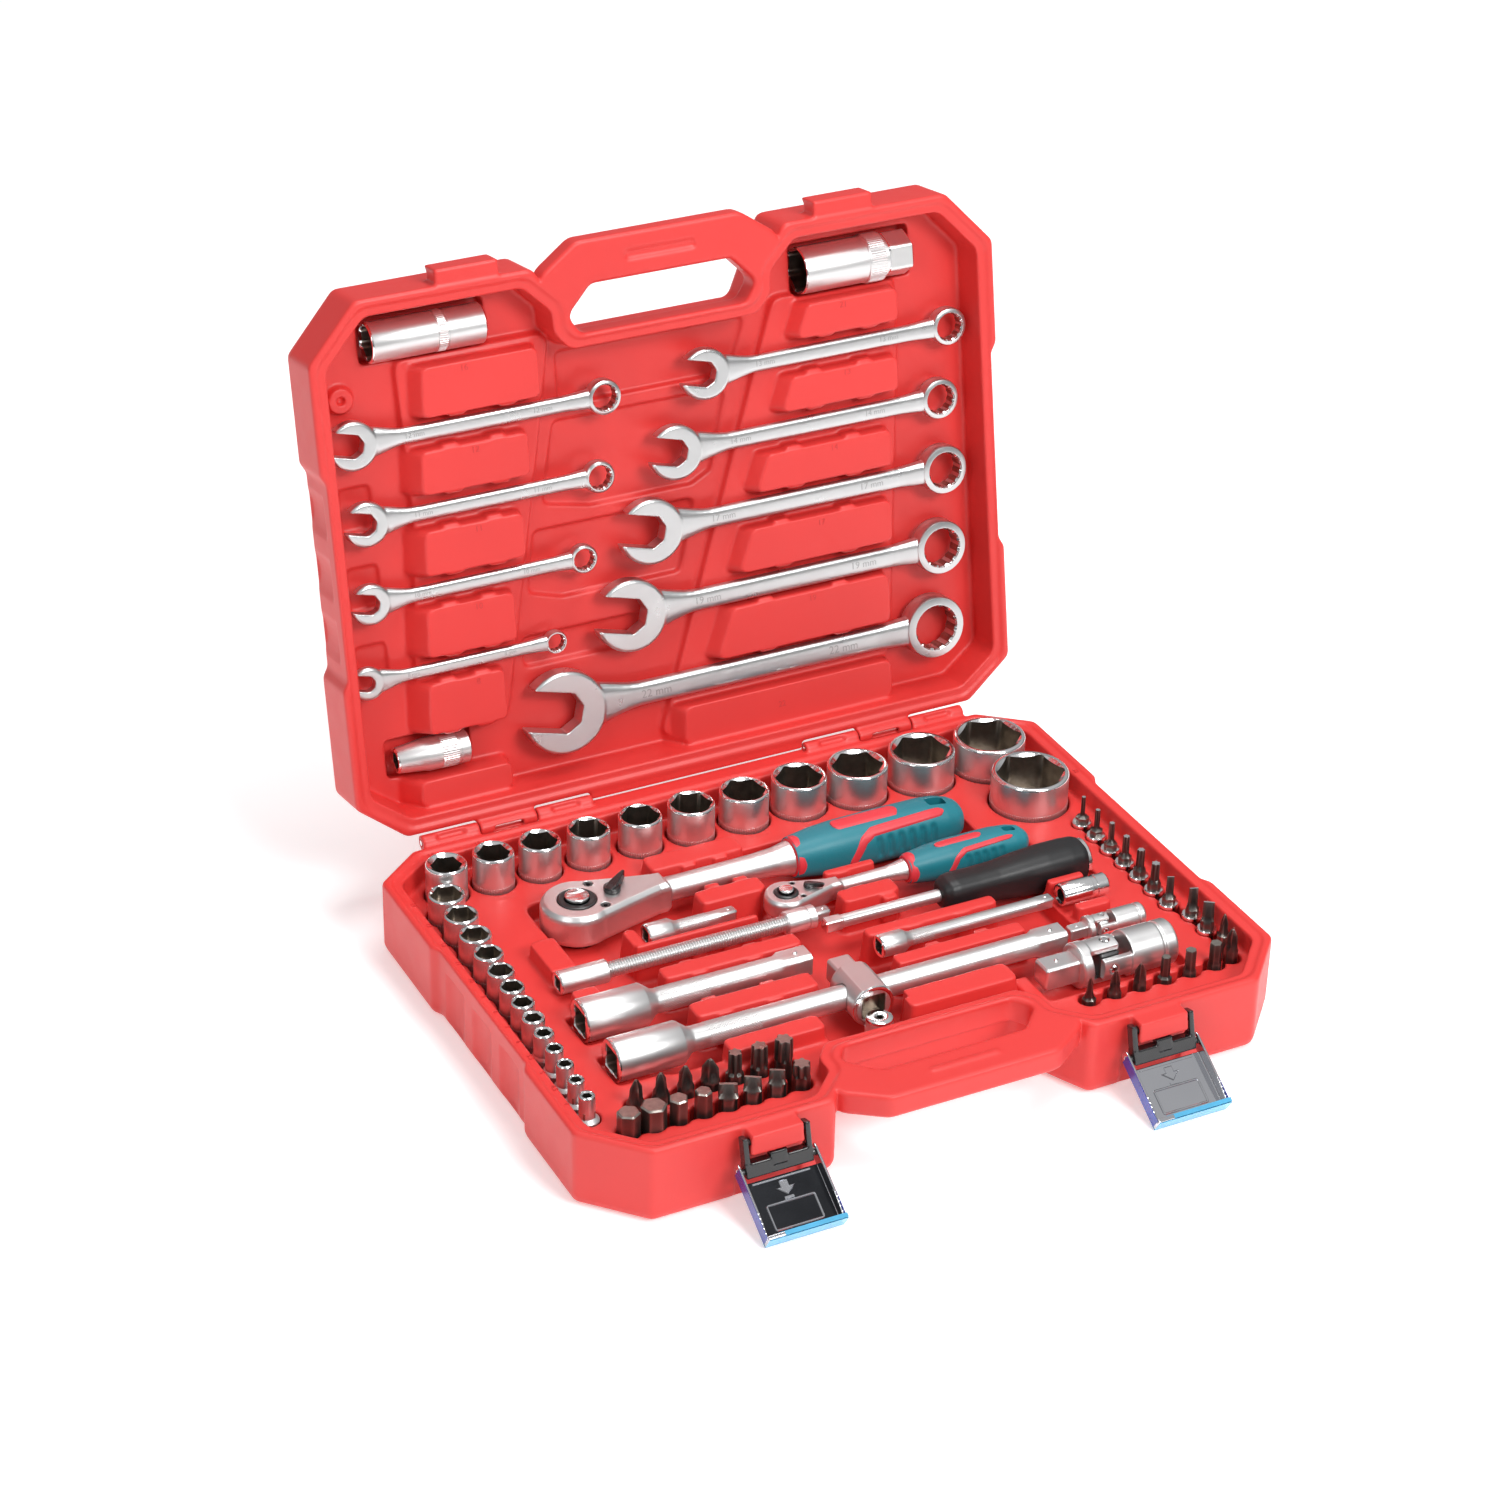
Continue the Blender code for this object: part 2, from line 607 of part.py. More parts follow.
def big_bit_rows():
    return row_points(*BIG_BACK_ROW), row_points(*BIG_FRONT_ROW)


def make_bit_set(name, points, profiles, route):
    """Hexagonal bits, joined at the bottom by a strip that the tray hides."""
    low = profiles[0][0][0]
    bits = solid(name, combined([turned(profile, 6, point) for point, profile in zip(points, profiles)]))
    join(bits, prism(ribbon(route, 1.5), low + 0.5, low + 3.5))
    finish(bits, "bit_steel")


def make_bits():
    low, big_low = BIT_BOTTOM, BIG_BIT_BOTTOM
    collared = [(low, BIT_HEX), (36, BIT_HEX), (46.5, 1.8)]
    short = [(low, BIT_HEX), (33, BIT_HEX), (42, 2.0)]
    points = bit_points()
    make_bit_set("bit_set_quarter_inch", points, [collared] * 11 + [short] * 6,
                 [points[0], *points[6:12], points[-1]])
    back, front = big_bit_rows()
    tipped = [(big_low, BIG_BIT_HEX), (35, BIG_BIT_HEX), (44, 2.2)]
    plain = [(big_low, BIG_BIT_HEX), (41, BIG_BIT_HEX)]
    make_bit_set("bit_set_large", back + front, [tipped] * 7 + [plain] * 8,
                 [back[0], back[-1], front[-1], front[0]])


def shaft_width(size):
    return 0.5 * size + 3.0


def jaw_outline(size, radius):
    """An open jaw about its own centre, its mouth towards -X before it is tilted."""
    half, bottom = size / 2, 0.42 * size
    tip = 0.82 * radius
    start = math.acos(-tip / radius)
    points = [(radius * math.cos(start - 2 * start * i / 14), radius * math.sin(start - 2 * start * i / 14))
              for i in range(15)]
    mouth = [(-tip, -half), (bottom - 0.29 * size, -half), (bottom, 0.0),
             (bottom - 0.29 * size, half), (-tip, half)]
    return points[::-1] + mouth[::-1]


def make_wrench(size, ring_x, y, length, frame):
    """A combination wrench, its ring centre at its own origin and its jaw towards -X."""
    ring = 0.8 * size - 0.25
    jaw = 1.02 * size + 0.9
    jaw_x = ring - length + 0.86 * jaw
    jaw_thick, ring_thick, shaft_thick = 0.36 * size + 2.2, 0.42 * size + 2.2, 0.22 * size + 2.0
    half = shaft_width(size) / 2
    tilt = Matrix.Rotation(math.radians(JAW_TILT_DEG), 4, "Z")
    head = moved(prism(jaw_outline(size, jaw), -jaw_thick / 2, jaw_thick / 2), tilt)
    wrench = solid(f"wrench_{size}", at(head, jaw_x, 0, 0))
    root = jaw_x + 0.62 * jaw
    outline = [(root, -half * 1.25), (-ring * 0.75, -half * 0.85), (-ring * 0.75, half * 0.85),
               (root, half * 1.25)]
    join(wrench, prism(outline, -shaft_thick / 2, shaft_thick / 2))
    join(wrench, turned([(-ring_thick / 2, ring), (ring_thick / 2, ring)]))
    cut(wrench, turned([(-ring_thick, size * 0.53), (ring_thick, size * 0.53)], 12))
    place(wrench, (ring_x, y - HINGE_Y, WRENCH_W), "satin_chrome", frame)


def make_spark_sockets(frame):
    plain = solid("spark_plug_socket_16", moved(turned([(0, 10.5), (62, 10.5)]), TO_X))
    cut(plain, moved(prism(hexagon(16.2), -1, 30), TO_X), moved(prism(square(HALF_INCH), 29.5, 63), TO_X))
    place(plain, (-155, -114.7 - HINGE_Y, 19.0), "satin_chrome", frame)
    stepped = solid("spark_plug_socket_21",
                    moved(turned([(0, 12.4), (38, 12.4), (39, 12.9), (47, 12.9), (48, 11.6), (50, 11.6)]),
                          TO_X))
    join(stepped, moved(prism(hexagon(21.4), 49, 64), TO_X))
    cut(stepped, moved(prism(hexagon(20.8), -1, 36), TO_X),
        moved(prism(square(HALF_INCH), 35.5, 65), TO_X))
    place(stepped, (85.5, -110 - HINGE_Y, 20.5), "satin_chrome", frame)
    coupler = solid("bit_coupler",
                    moved(turned([(0, 6.4), (1, 7.0), (16, 8.8), (18, 9.0), (40, 9.0)]), TO_X))
    cut(coupler, moved(prism(hexagon(8.1), -1, 18), TO_X), moved(prism(square(HALF_INCH), 17.5, 41), TO_X))
    place(coupler, (-162.7, 106 - HINGE_Y, 18.5), "satin_chrome", frame)


def pear(radius, neck_x, neck_half):
    """A ratchet head seen from above, round at -X and narrowing to its neck at +X."""
    reach = math.radians(120)
    arc = [(radius * math.cos(math.pi - reach + 2 * reach * i / 14),
            radius * math.sin(math.pi - reach + 2 * reach * i / 14)) for i in range(15)]
    return arc + [(neck_x, -neck_half), (neck_x, neck_half)]


RATCHETS = {
    "ratchet": dict(place=RATCHET_PLACE, radius=19.0, neck=(44.0, 7.5), head=19.0, axis=-8.0,
                    shaft=[(30, 6.0), (60, 6.2), (110, 7.5), (120.5, 8.8), (120.8, 5.0), (160, 5.0)],
                    grip=[(0, 10.8), (4, 11.6), (18, 13.5), (82, 13.5), (94, 11.5), (100, 7.5)],
                    grip_x=121.1, tang=5.0, gear=9.9, square=12.7, drive=15.0, button=6.0,
                    lever_x=19.5, lever=12.5, lever_deg=37.0, hole=(78.0, 90.0, 2.6)),
    "small_ratchet": dict(place=SMALL_RATCHET_PLACE, radius=11.5, neck=(25.0, 4.2), head=11.0,
                          axis=-4.8, shaft=[(18, 3.4), (40, 3.6), (62, 4.4), (68.5, 5.4), (68.8, 3.4),
                                            (95, 3.4)],
                          grip=[(0, 7.4), (3, 8.0), (14, 10.0), (56, 10.0), (66, 8.6), (71, 5.5)],
                          grip_x=69.1, tang=3.4, gear=6.1, square=6.35, drive=7.5, button=3.4,
                          lever_x=13.0, lever=8.0, lever_deg=-40.0, hole=(54.0, 64.0, 1.9)),
}


def make_ratchet(name, d):
    """A ratchet along +X, its drive axis at its own origin and its head's top at z = 0."""
    frame = frame_empty(name + "_frame", d["place"])
    outline = pear(d["radius"], *d["neck"])
    body = solid(name + "_body", loft([level(inset(outline, 2), -d["head"]), level(outline, 2.5 - d["head"]),
                                       level(outline, -1.5), level(inset(outline, 1), 0)]))
    join(body, at(moved(turned(d["shaft"], 12), TO_X), 0, 0, d["axis"]))
    cut(body, turned([(-d["head"] - 1, d["gear"] + GAP), (1, d["gear"] + GAP)]),
        turned([(-5, 2.3), (1, 2.3)], 10, (d["lever_x"], 0)))
    place(body, (0, 0, 0), "satin_chrome", frame)
    make_drive(name, d, frame)
    make_lever(name, d, frame)
    grip = solid(name + "_grip", moved(turned(d["grip"], 14), TO_X))
    cut(grip, moved(turned([(-1, d["tang"] + GAP), (160 - d["grip_x"] + 2 if d["tang"] > 4 else 28,
                                                    d["tang"] + GAP)], 12), TO_X))
    x0, x1, half = d["hole"]
    cut(grip, prism(octagon(x0, x1, -half, half, half * 0.6), -20, 20))
    place(grip, (d["grip_x"], 0, d["axis"]), "teal_grip", frame)


def make_drive(name, d, frame):
    low = -d["head"] - GAP
    drive = solid(name + "_drive", turned([(low, d["gear"]), (0.7, d["gear"])]))
    join(drive, prism(square(d["square"]), low - d["drive"], low + 1))
    cut(drive, turned([(-6, d["button"] + GAP), (2, d["button"] + GAP)], 12))
    place(drive, (0, 0, 0), "black_plastic", frame)
    button = solid(name + "_button", turned([(-3.4, d["button"]), (1.9, d["button"]),
                                             (2.4, d["button"] - 0.6)], 12))
    place(button, (0, 0, 0), "bright_steel", frame)


def make_lever(name, d, frame):
    """The reversing lever: a disc and a thumb blade, with a short spindle in the head."""
    lever = solid(name + "_lever", turned([(-4, 2.0), (0.5, 2.0)], 10))
    join(lever, turned([(GAP, d["lever"] * 0.38), (2.2, d["lever"] * 0.38)], 12))
    reach, half = d["lever"], d["lever"] * 0.16
    blade = [(-half * 2, -half * 1.6), (reach, -half * 0.5), (reach, half * 0.5), (-half * 2, half * 1.6)]
    join(lever, prism(blade, 0.8, 5.0))
    place(lever, (d["lever_x"], 0, 0), "black_plastic", frame, (0, 0, math.radians(d["lever_deg"])))


def make_extension(name, where, length, drive, end, end_length, shaft, square_length):
    """A bar along +X with a socket end at its own origin and a square at its far end."""
    taper = (end - shaft) * 1.2
    bar = solid(name, moved(turned([(0, end - 0.6), (0.8, end), (end_length, end),
                                    (end_length + taper, shaft), (length - square_length, shaft)]),
                            TO_X))
    join(bar, moved(prism(square(drive - 0.2), length - square_length - 1, length), TO_X))
    cut(bar, moved(prism(square(drive + 0.2), -1, min(end_length, 16)), TO_X))
    place(bar, where, "satin_chrome")


def make_flexible_extension():
    bar = solid("flexible_extension",
                moved(turned([(0, 6.0), (27, 6.0), (27.5, 4.2), (124.5, 4.2), (125, 6.0), (142, 6.0)]),
                      TO_X))
    join(bar, moved(prism(square(QUARTER_INCH), 141, 150), TO_X))
    cut(bar, moved(prism(square(QUARTER_INCH + 0.2), -1, 12), TO_X))
    place(bar, FLEXIBLE_PLACE, "satin_chrome")


def make_spinner():
    spinner = solid("spinner_handle", moved(turned([(6, 3.3), (66, 3.3), (66.2, 9.0), (72, 11.5),
                                                    (92, 9.6), (128, 12.0), (149, 12.0),
                                                    (152, 9.5)], 14), TO_X))
    join(spinner, moved(prism(square(QUARTER_INCH), 0, 8), TO_X))
    place(spinner, SPINNER_PLACE, "spinner_grip")


def make_t_head():
    """The sliding head: a bore along X for the bar, a square behind and a square socket in front."""
    head = solid("sliding_t_head", moved(turned([(-13.5, 10.9), (-12.5, 11.5), (11, 11.5),
                                                 (12, 10.5)]), TO_Y))
    join(head, moved(prism(square(HALF_INCH), 11, 25), TO_Y))
    cut(head, moved(prism(square(HALF_INCH + 0.2), -15, -6.9), TO_Y),
        moved(turned([(-20, 6.7), (20, 6.7)]), TO_X))
    place(head, (T_HEAD_X, EXTENSION_250_PLACE[1], EXTENSION_250_PLACE[2]), "satin_chrome")
    adapter = solid("drive_adapter", turned([(0, 6.4), (0.6, 7.0), (15.8, 7.0), (16.5, 6.3)], 14))
    cut(adapter, turned([(10, 1.5), (18, 1.5)], 8))
    place(adapter, ADAPTER_PLACE, "satin_chrome")


def make_bit_holder():
    holder = solid("bit_holder", moved(turned([(0, 5.6), (0.6, 6.0), (18, 6.0), (18.6, 5.6), (20, 5.6),
                                               (20.6, 6.0), (27, 6.0)]), TO_X))
    cut(holder, moved(prism(hexagon(QUARTER_INCH + 0.1), -1, 11), TO_X),
        moved(prism(square(QUARTER_INCH + 0.1), 19, 28), TO_X))
    place(holder, BIT_HOLDER_PLACE, "satin_chrome")


def yoke(radius, ear_low, ear_half, reach, direction):
    """Two ears on +Z and -Z from a disc of the given radius, cut round by the disc."""
    ears = solid("ears", moved(turned([(-ear_half, radius - 0.3), (reach + 3, radius - 0.3)], 16),
                               TO_X if direction > 0 else TO_X @ Matrix.Rotation(math.pi, 4, "X")))
    wide = radius + 1
    span = (-ear_half - 1, reach) if direction > 0 else (-reach, ear_half + 1)
    cut(ears, box(*span, -wide, wide, -ear_low, ear_low),
        box(*span, ear_half, wide, -wide, wide), box(*span, -wide, -ear_half, -wide, wide))
    return ears


def make_universal_joint(name, where, radius, square_size, tail, head):
    """A fork with a square, a cross block, and a fork with a socket, about the pivot point."""
    ear_low, ear_half, pin = 0.61 * radius, 0.46 * radius, 0.19 * radius
    reach = 0.95 * radius
    hole = pin + GAP
    drive = yoke(radius, ear_low, ear_half, reach, -1)
    drive.name = name + "_drive"
    join(drive, moved(turned([(-reach - 0.45 * radius, radius - 0.8), (-reach, radius)]), TO_X),
         moved(prism(square(square_size - 0.2), -tail, -reach - 1), TO_X))
    cut(drive, turned([(-radius - 1, hole), (radius + 1, hole)], 10))
    place(drive, where, "satin_chrome")

    end = yoke(radius, ear_low, ear_half, reach, 1)
    end.name = name + "_socket"
    for vertex in end.data.vertices:
        vertex.co.yz = -vertex.co.z, vertex.co.y
    join(end, moved(turned([(reach, radius), (head - 0.8, radius), (head, radius - 0.6)]), TO_X))
    cut(end, moved(prism(square(square_size + 0.2), head - 14 * radius / 12, head + 1), TO_X),
        moved(turned([(-radius - 1, hole), (radius + 1, hole)], 10), TO_Y))
    place(end, where, "satin_chrome")

    core = ear_low - GAP
    side = ear_half
    cross = solid(name + "_cross", box(-side, side, -core, core, -core, core))
    pin_reach = radius - 0.9
    join(cross, turned([(-pin_reach, pin), (pin_reach, pin)], 10),
         moved(turned([(-pin_reach, pin), (pin_reach, pin)], 10), TO_Y))
    place(cross, where, "bright_steel")


# --- build --------------------------------------------------------------------------------------

def main():
    for obj in list(bpy.data.objects):
        bpy.data.objects.remove(obj)
    lid_frame = frame_empty("lid_axis", (0, HINGE_Y, BASE_HEIGHT), -LID_OPEN_DEG)
    make_base()
    make_hinge_pins()
    make_lid(lid_frame)
    make_latches()
    make_sockets()
    make_small_row()
    make_bits()
    for size, (ring_x, y, length) in WRENCHES.items():
        make_wrench(size, ring_x, y, length, lid_frame)
    make_spark_sockets(lid_frame)
    for name, dims in RATCHETS.items():
        make_ratchet(name, dims)
    make_extension("extension_250", EXTENSION_250_PLACE, 250, HALF_INCH, 11.0, 36, 6.3, 16)
    make_extension("extension_125", EXTENSION_125_PLACE, 125, HALF_INCH, 11.0, 34, 6.3, 16)
    make_extension("extension_100", EXTENSION_100_PLACE, 100, QUARTER_INCH, 6.0, 14, 3.7, 8)
    make_extension("extension_50", EXTENSION_50_PLACE, 50, QUARTER_INCH, 6.0, 14, 3.7, 8)
    make_flexible_extension()
    make_spinner()
    make_t_head()
    make_bit_holder()
    make_universal_joint("universal_joint", JOINT_12_PLACE, 11.8, HALF_INCH, 36, 38)
    make_universal_joint("small_universal_joint", JOINT_14_PLACE, 6.4, QUARTER_INCH, 19, 24)


main()
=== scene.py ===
"""Looks for the socket wrench set in its case: moulded shells, chromed tools, materials, light, camera.

Shapes are in millimetres, in the CAD's frame, and become metres when a mesh is made. Lid pieces are made
in the lid's own frame, whose origin is on the hinge axis, and are then turned with it.
"""

import math

import bmesh
import bpy
import numpy as np
from mathutils import Matrix, Vector


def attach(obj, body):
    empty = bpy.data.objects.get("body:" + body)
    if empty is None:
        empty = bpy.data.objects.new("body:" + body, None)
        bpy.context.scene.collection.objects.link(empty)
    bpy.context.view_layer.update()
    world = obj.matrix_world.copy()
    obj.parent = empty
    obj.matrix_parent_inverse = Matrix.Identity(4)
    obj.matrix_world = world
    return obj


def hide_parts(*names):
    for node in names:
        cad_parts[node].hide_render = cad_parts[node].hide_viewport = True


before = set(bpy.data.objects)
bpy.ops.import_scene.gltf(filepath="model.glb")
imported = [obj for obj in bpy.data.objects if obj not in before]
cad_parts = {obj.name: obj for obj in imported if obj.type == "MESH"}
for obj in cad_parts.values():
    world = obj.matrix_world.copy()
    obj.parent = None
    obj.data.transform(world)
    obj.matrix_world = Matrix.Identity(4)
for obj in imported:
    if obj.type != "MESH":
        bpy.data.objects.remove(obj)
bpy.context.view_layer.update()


def shift(x=0.0, y=0.0, z=0.0):
    return Matrix.Translation((x, y, z))


def spin(degrees, axis="Z"):
    return Matrix.Rotation(math.radians(degrees), 4, axis)


MM = 0.001
BASE_TOP, LID_DEPTH, HINGE_Y = 42.0, 36.0, 146.2
BACK_WALL = 140.7  # just inside the back wall's outer face, where hinge parts take root
LIP = (-62.5, 62.5)  # the lips that close the gap between the inner knuckles
LID_ANGLE = -100.5
LATCH_X = 105
LUG_Y, LUG_Z = -147, 36.5
HALF_INCH, QUARTER_INCH = 12.7, 6.35
LID = shift(0, HINGE_Y, BASE_TOP) @ spin(LID_ANGLE, "X")
TO_X, TO_Y, FLIP = spin(90, "Y"), spin(-90, "X"), spin(180, "X")
TO_MINUS_X = spin(180) @ TO_X
COARSE = 1.0


# --- materials ---

def finish(name, color, metallic=0.0, rough=0.4, spread=0.06, tint=0.05, tint_scale=14.0, grain=0.0,
           grain_scale=1400.0, coat=0.0, wear=None):
    """A material with mottled colour, uneven gloss, a grain and, where wear is a colour, rubbed edges."""
    mat = bpy.data.materials.new(name)
    mat.use_nodes = True
    nodes, links = mat.node_tree.nodes, mat.node_tree.links
    shader = nodes["Principled BSDF"]
    shader.inputs["Metallic"].default_value = metallic
    if coat:
        shader.inputs["Coat Weight"].default_value = coat
        shader.inputs["Coat Roughness"].default_value = 0.12
    where = nodes.new("ShaderNodeTexCoord").outputs["Object"]

    def noise(scale, detail):
        node = nodes.new("ShaderNodeTexNoise")
        node.inputs["Scale"].default_value = scale
        node.inputs["Detail"].default_value = detail
        links.new(where, node.inputs["Vector"])
        return node.outputs["Fac"]

    def ramp(source, start, end):
        node = nodes.new("ShaderNodeValToRGB")
        first, last = node.color_ramp.elements
        first.position, last.position = start, end
        links.new(source, node.inputs["Fac"])
        return node.outputs["Color"], first, last

    base, dark, light = ramp(noise(tint_scale, 3.0), 0.3, 0.7)
    dark.color = (*[c * (1 - tint) for c in color], 1)
    light.color = (*[min(1.0, c * (1 + tint)) for c in color], 1)
    if wear:
        edges = nodes.new("ShaderNodeNewGeometry").outputs["Pointiness"]
        mix = nodes.new("ShaderNodeMix")
        mix.data_type = "RGBA"
        links.new(ramp(edges, 0.5, 0.62)[0], mix.inputs["Factor"])
        links.new(base, mix.inputs["A"])
        mix.inputs["B"].default_value = (*wear, 1)
        base = mix.outputs["Result"]
    links.new(base, shader.inputs["Base Color"])
    gloss = nodes.new("ShaderNodeMapRange")
    gloss.inputs["To Min"].default_value = max(0.02, rough - spread)
    gloss.inputs["To Max"].default_value = rough + spread
    links.new(noise(90.0, 4.0), gloss.inputs["Value"])
    links.new(gloss.outputs["Result"], shader.inputs["Roughness"])
    if grain:
        bump = nodes.new("ShaderNodeBump")
        bump.inputs["Strength"].default_value = grain
        bump.inputs["Distance"].default_value = 0.0002
        links.new(noise(grain_scale, 2.0), bump.inputs["Height"])
        links.new(bump.outputs["Normal"], shader.inputs["Normal"])
    return mat


RED = finish("case_red", (0.70, 0.038, 0.034), rough=0.42, tint=0.035, grain=0.22, grain_scale=900)
RED_TEXT = finish("numeral_red", (0.58, 0.034, 0.032), rough=0.45, grain=0.1)
SATIN = finish("satin_chrome", (0.73, 0.725, 0.72), 0.93, 0.35, 0.05, 0.03, grain=0.05, grain_scale=1600)
BRIGHT = finish("polished_chrome", (0.88, 0.88, 0.88), 1.0, 0.13, 0.03, 0.02, grain=0.02)
WRENCH = finish("wrench_chrome", (0.60, 0.60, 0.60), 0.97, 0.29, 0.05, 0.02, grain=0.04, grain_scale=1200)
INSIDE = finish("recess_steel", (0.33, 0.29, 0.25), 1.0, 0.34, 0.08, 0.25, 160, grain=0.15)
STAMP = finish("stamped_mark", (0.40, 0.40, 0.40), 1.0, 0.38, grain=0.1)
BIT = finish("bit_steel", (0.085, 0.078, 0.072), 0.9, 0.34, 0.08, 0.2, 220, 0.2, wear=(0.35, 0.32, 0.29))
BIT_TIP = finish("bit_ground_tip", (0.42, 0.38, 0.34), 1.0, 0.30, 0.06, 0.15, 400, 0.1)
BLACK = finish("black_moulding", (0.012, 0.012, 0.013), rough=0.24, coat=0.4, grain=0.06)
BLACK_STEEL = finish("black_oxide", (0.02, 0.02, 0.021), 0.5, 0.3, grain=0.12, wear=(0.10, 0.10, 0.10))
TEAL = finish("teal_grip", (0.012, 0.20, 0.25), rough=0.46, tint=0.06, grain=0.35, grain_scale=1500)
GRIP_RED = finish("red_grip", (0.72, 0.045, 0.06), rough=0.42, tint=0.04, grain=0.3, grain_scale=1500)
SPINNER = finish("spinner_black", (0.011, 0.0115, 0.0125), rough=0.44, tint=0.1, grain=0.3, grain_scale=1100)
FILM = finish("pale_blue_film", (0.10, 0.46, 0.74), 0.35, 0.18, tint=0.12, tint_scale=60, coat=0.5)
DEEP_FILM = finish("deep_blue_film", (0.02, 0.05, 0.36), 0.3, 0.2, tint=0.15, tint_scale=60, coat=0.5)
# A dark glossy sheet that stands in for the dark reflection seen on the left latch plate: a painted
# reflection
PAINTED_DARK_REFLECTION = finish("painted_dark_reflection", (0.035, 0.037, 0.042), 0.85, 0.12, 0.04, 0.25, 40)
PLATE = finish("bright_plate", (0.62, 0.63, 0.66), 1.0, 0.10, 0.04, 0.05, grain=0.10, grain_scale=60)
CHROME = [SATIN, BRIGHT, INSIDE]


# --- shapes as (points, faces, material of each face) ---

def angles(n):
    return np.arange(n) * math.tau / n


def polygon(sides, across, n, turn=0.0, blunt=9.9):
    """Radii of a regular polygon with a flat at the turn, its corners cut by a circle."""
    part = math.tau / sides
    folded = (angles(n) - turn + part / 2) % part - part / 2
    return np.minimum(across / 2 / np.cos(folded), across / 2 * blunt)


def twelve_point(across, n):
    return np.maximum(polygon(6, across, n, 0, 1.12), polygon(6, across, n, math.pi / 6, 1.12))


def rounded(half_x, half_y, power, n):
    """Radii of a superellipse, from an ellipse at power 2 towards a rectangle."""
    t = angles(n)
    return (np.abs(np.cos(t) / half_x) ** power + np.abs(np.sin(t) / half_y) ** power) ** (-1 / power)


def star(radius, n, depth=0.13):
    """Radii of a round with six shallow lobes."""
    return radius * (1 - depth + depth * np.cos(6 * angles(n)))


def skin(rings, mats=0, closed=False):
    """A surface through rings of equal length, capped at both ends unless it closes on itself."""
    n, count = len(rings[0]), len(rings)
    if not isinstance(mats, list):
        mats = [mats] * count
    faces, kinds = [], []
    for i in range(count if closed else count - 1):
        k = (i + 1) % count
        faces += [(i * n + j, i * n + (j + 1) % n, k * n + (j + 1) % n, k * n + j) for j in range(n)]
        kinds += [mats[i]] * n
    if not closed:
        faces += [tuple(range(n))[::-1], tuple(range((count - 1) * n, count * n))]
        kinds += [mats[0], mats[-1]]
    return np.concatenate(rings), faces, kinds


def turned(stations, n=48, closed=False):
    """A shape about Z from (z, radius or radii, material of the band that follows, 0 if left out)."""
    rings, mats = [], []
    for z, radius, *kind in stations:
        radii = np.broadcast_to(np.asarray(radius, float), n)
        height = np.broadcast_to(np.asarray(z, float), n)
        rings.append(np.stack([radii * np.cos(angles(n)), radii * np.sin(angles(n)), height], 1))
        mats.append(kind[0] if kind else 0)
    return skin(rings, mats, closed)


def loft(levels):
    """A solid through (outline, z) levels of equal length."""
    return skin([np.array([(x, y, z) for x, y in outline], float) for outline, z in levels])


def moved(part, matrix):
    points, faces, kinds = part
    m = np.array(matrix)
    return points @ m[:3, :3].T + m[:3, 3], faces, kinds


def at(part, x=0.0, y=0.0, z=0.0):
    return moved(part, shift(x, y, z))


def along_x(part, x=0.0, y=0.0, z=0.0):
    return moved(part, shift(x, y, z) @ TO_X)


def along_y(part, x=0.0, y=0.0, z=0.0):
    return moved(part, shift(x, y, z) @ TO_Y)


def rod(x0, x1, radius, y=0.0, z=0.0, n=24):
    """A round bar along X."""
    return along_x(turned([(x0, radius), (x1, radius)], n), 0, y, z)


def knurled(z0, z1, radius, teeth, depth=0.2):
    """A ring of upright teeth that sits a little into the surface under it."""
    toothed = radius + depth * np.tile([1.0, 0.3, -1.0], teeth)
    return turned([(z0, radius - 0.5), (z0 + 0.15, toothed), (z1 - 0.15, toothed), (z1, radius - 0.5)],
                  3 * teeth, True)


def cross_knurled(z0, z1, radius, teeth, depth=0.24):
    """A ring of small diamonds, as rows of ridges that cross."""
    n = 4 * teeth
    rows = max(4, int((z1 - z0) / (math.tau * radius / teeth) * 4))
    around = np.arange(n) / 4
    stations = [(z0, radius - 0.5)]
    for i in range(rows + 1):
        ridge = np.maximum(np.cos(math.pi * (around + i / 4)) ** 2, np.cos(math.pi * (around - i / 4)) ** 2)
        stations.append((z0 + (z1 - z0) * i / rows, radius - depth + 1.6 * depth * (1 - ridge) ** 0.7))
    return turned([*stations, (z1, radius - 0.5)], n, True)


# --- objects ---

def wrap(name, mesh):
    obj = bpy.data.objects.new(name, mesh)
    bpy.context.scene.collection.objects.link(obj)
    return obj


def mesh_of(parts, matrix=None):
    """One mesh, in metres, from several parts."""
    points, faces, kinds, start = [], [], [], 0
    for part_points, part_faces, part_kinds in parts:
        points.append(part_points)
        faces += [tuple(i + start for i in face) for face in part_faces]
        kinds += part_kinds
        start += len(part_points)
    points = np.concatenate(points)
    if matrix is not None:
        m = np.array(matrix)
        points = points @ m[:3, :3].T + m[:3, 3]
    mesh = bpy.data.meshes.new("piece")
    mesh.from_pydata((points * MM).tolist(), [], faces)
    mesh.polygons.foreach_set("material_index", kinds)
    bm = bmesh.new()
    bm.from_mesh(mesh)
    bmesh.ops.recalc_face_normals(bm, faces=bm.faces)
    bm.to_mesh(mesh)
    bm.free()
    return mesh


def move_mesh(mesh, matrix):
    """Moves a finished mesh by a matrix whose lengths are in millimetres."""
    mesh.transform(Matrix.Scale(MM, 4) @ matrix @ Matrix.Scale(1 / MM, 4))


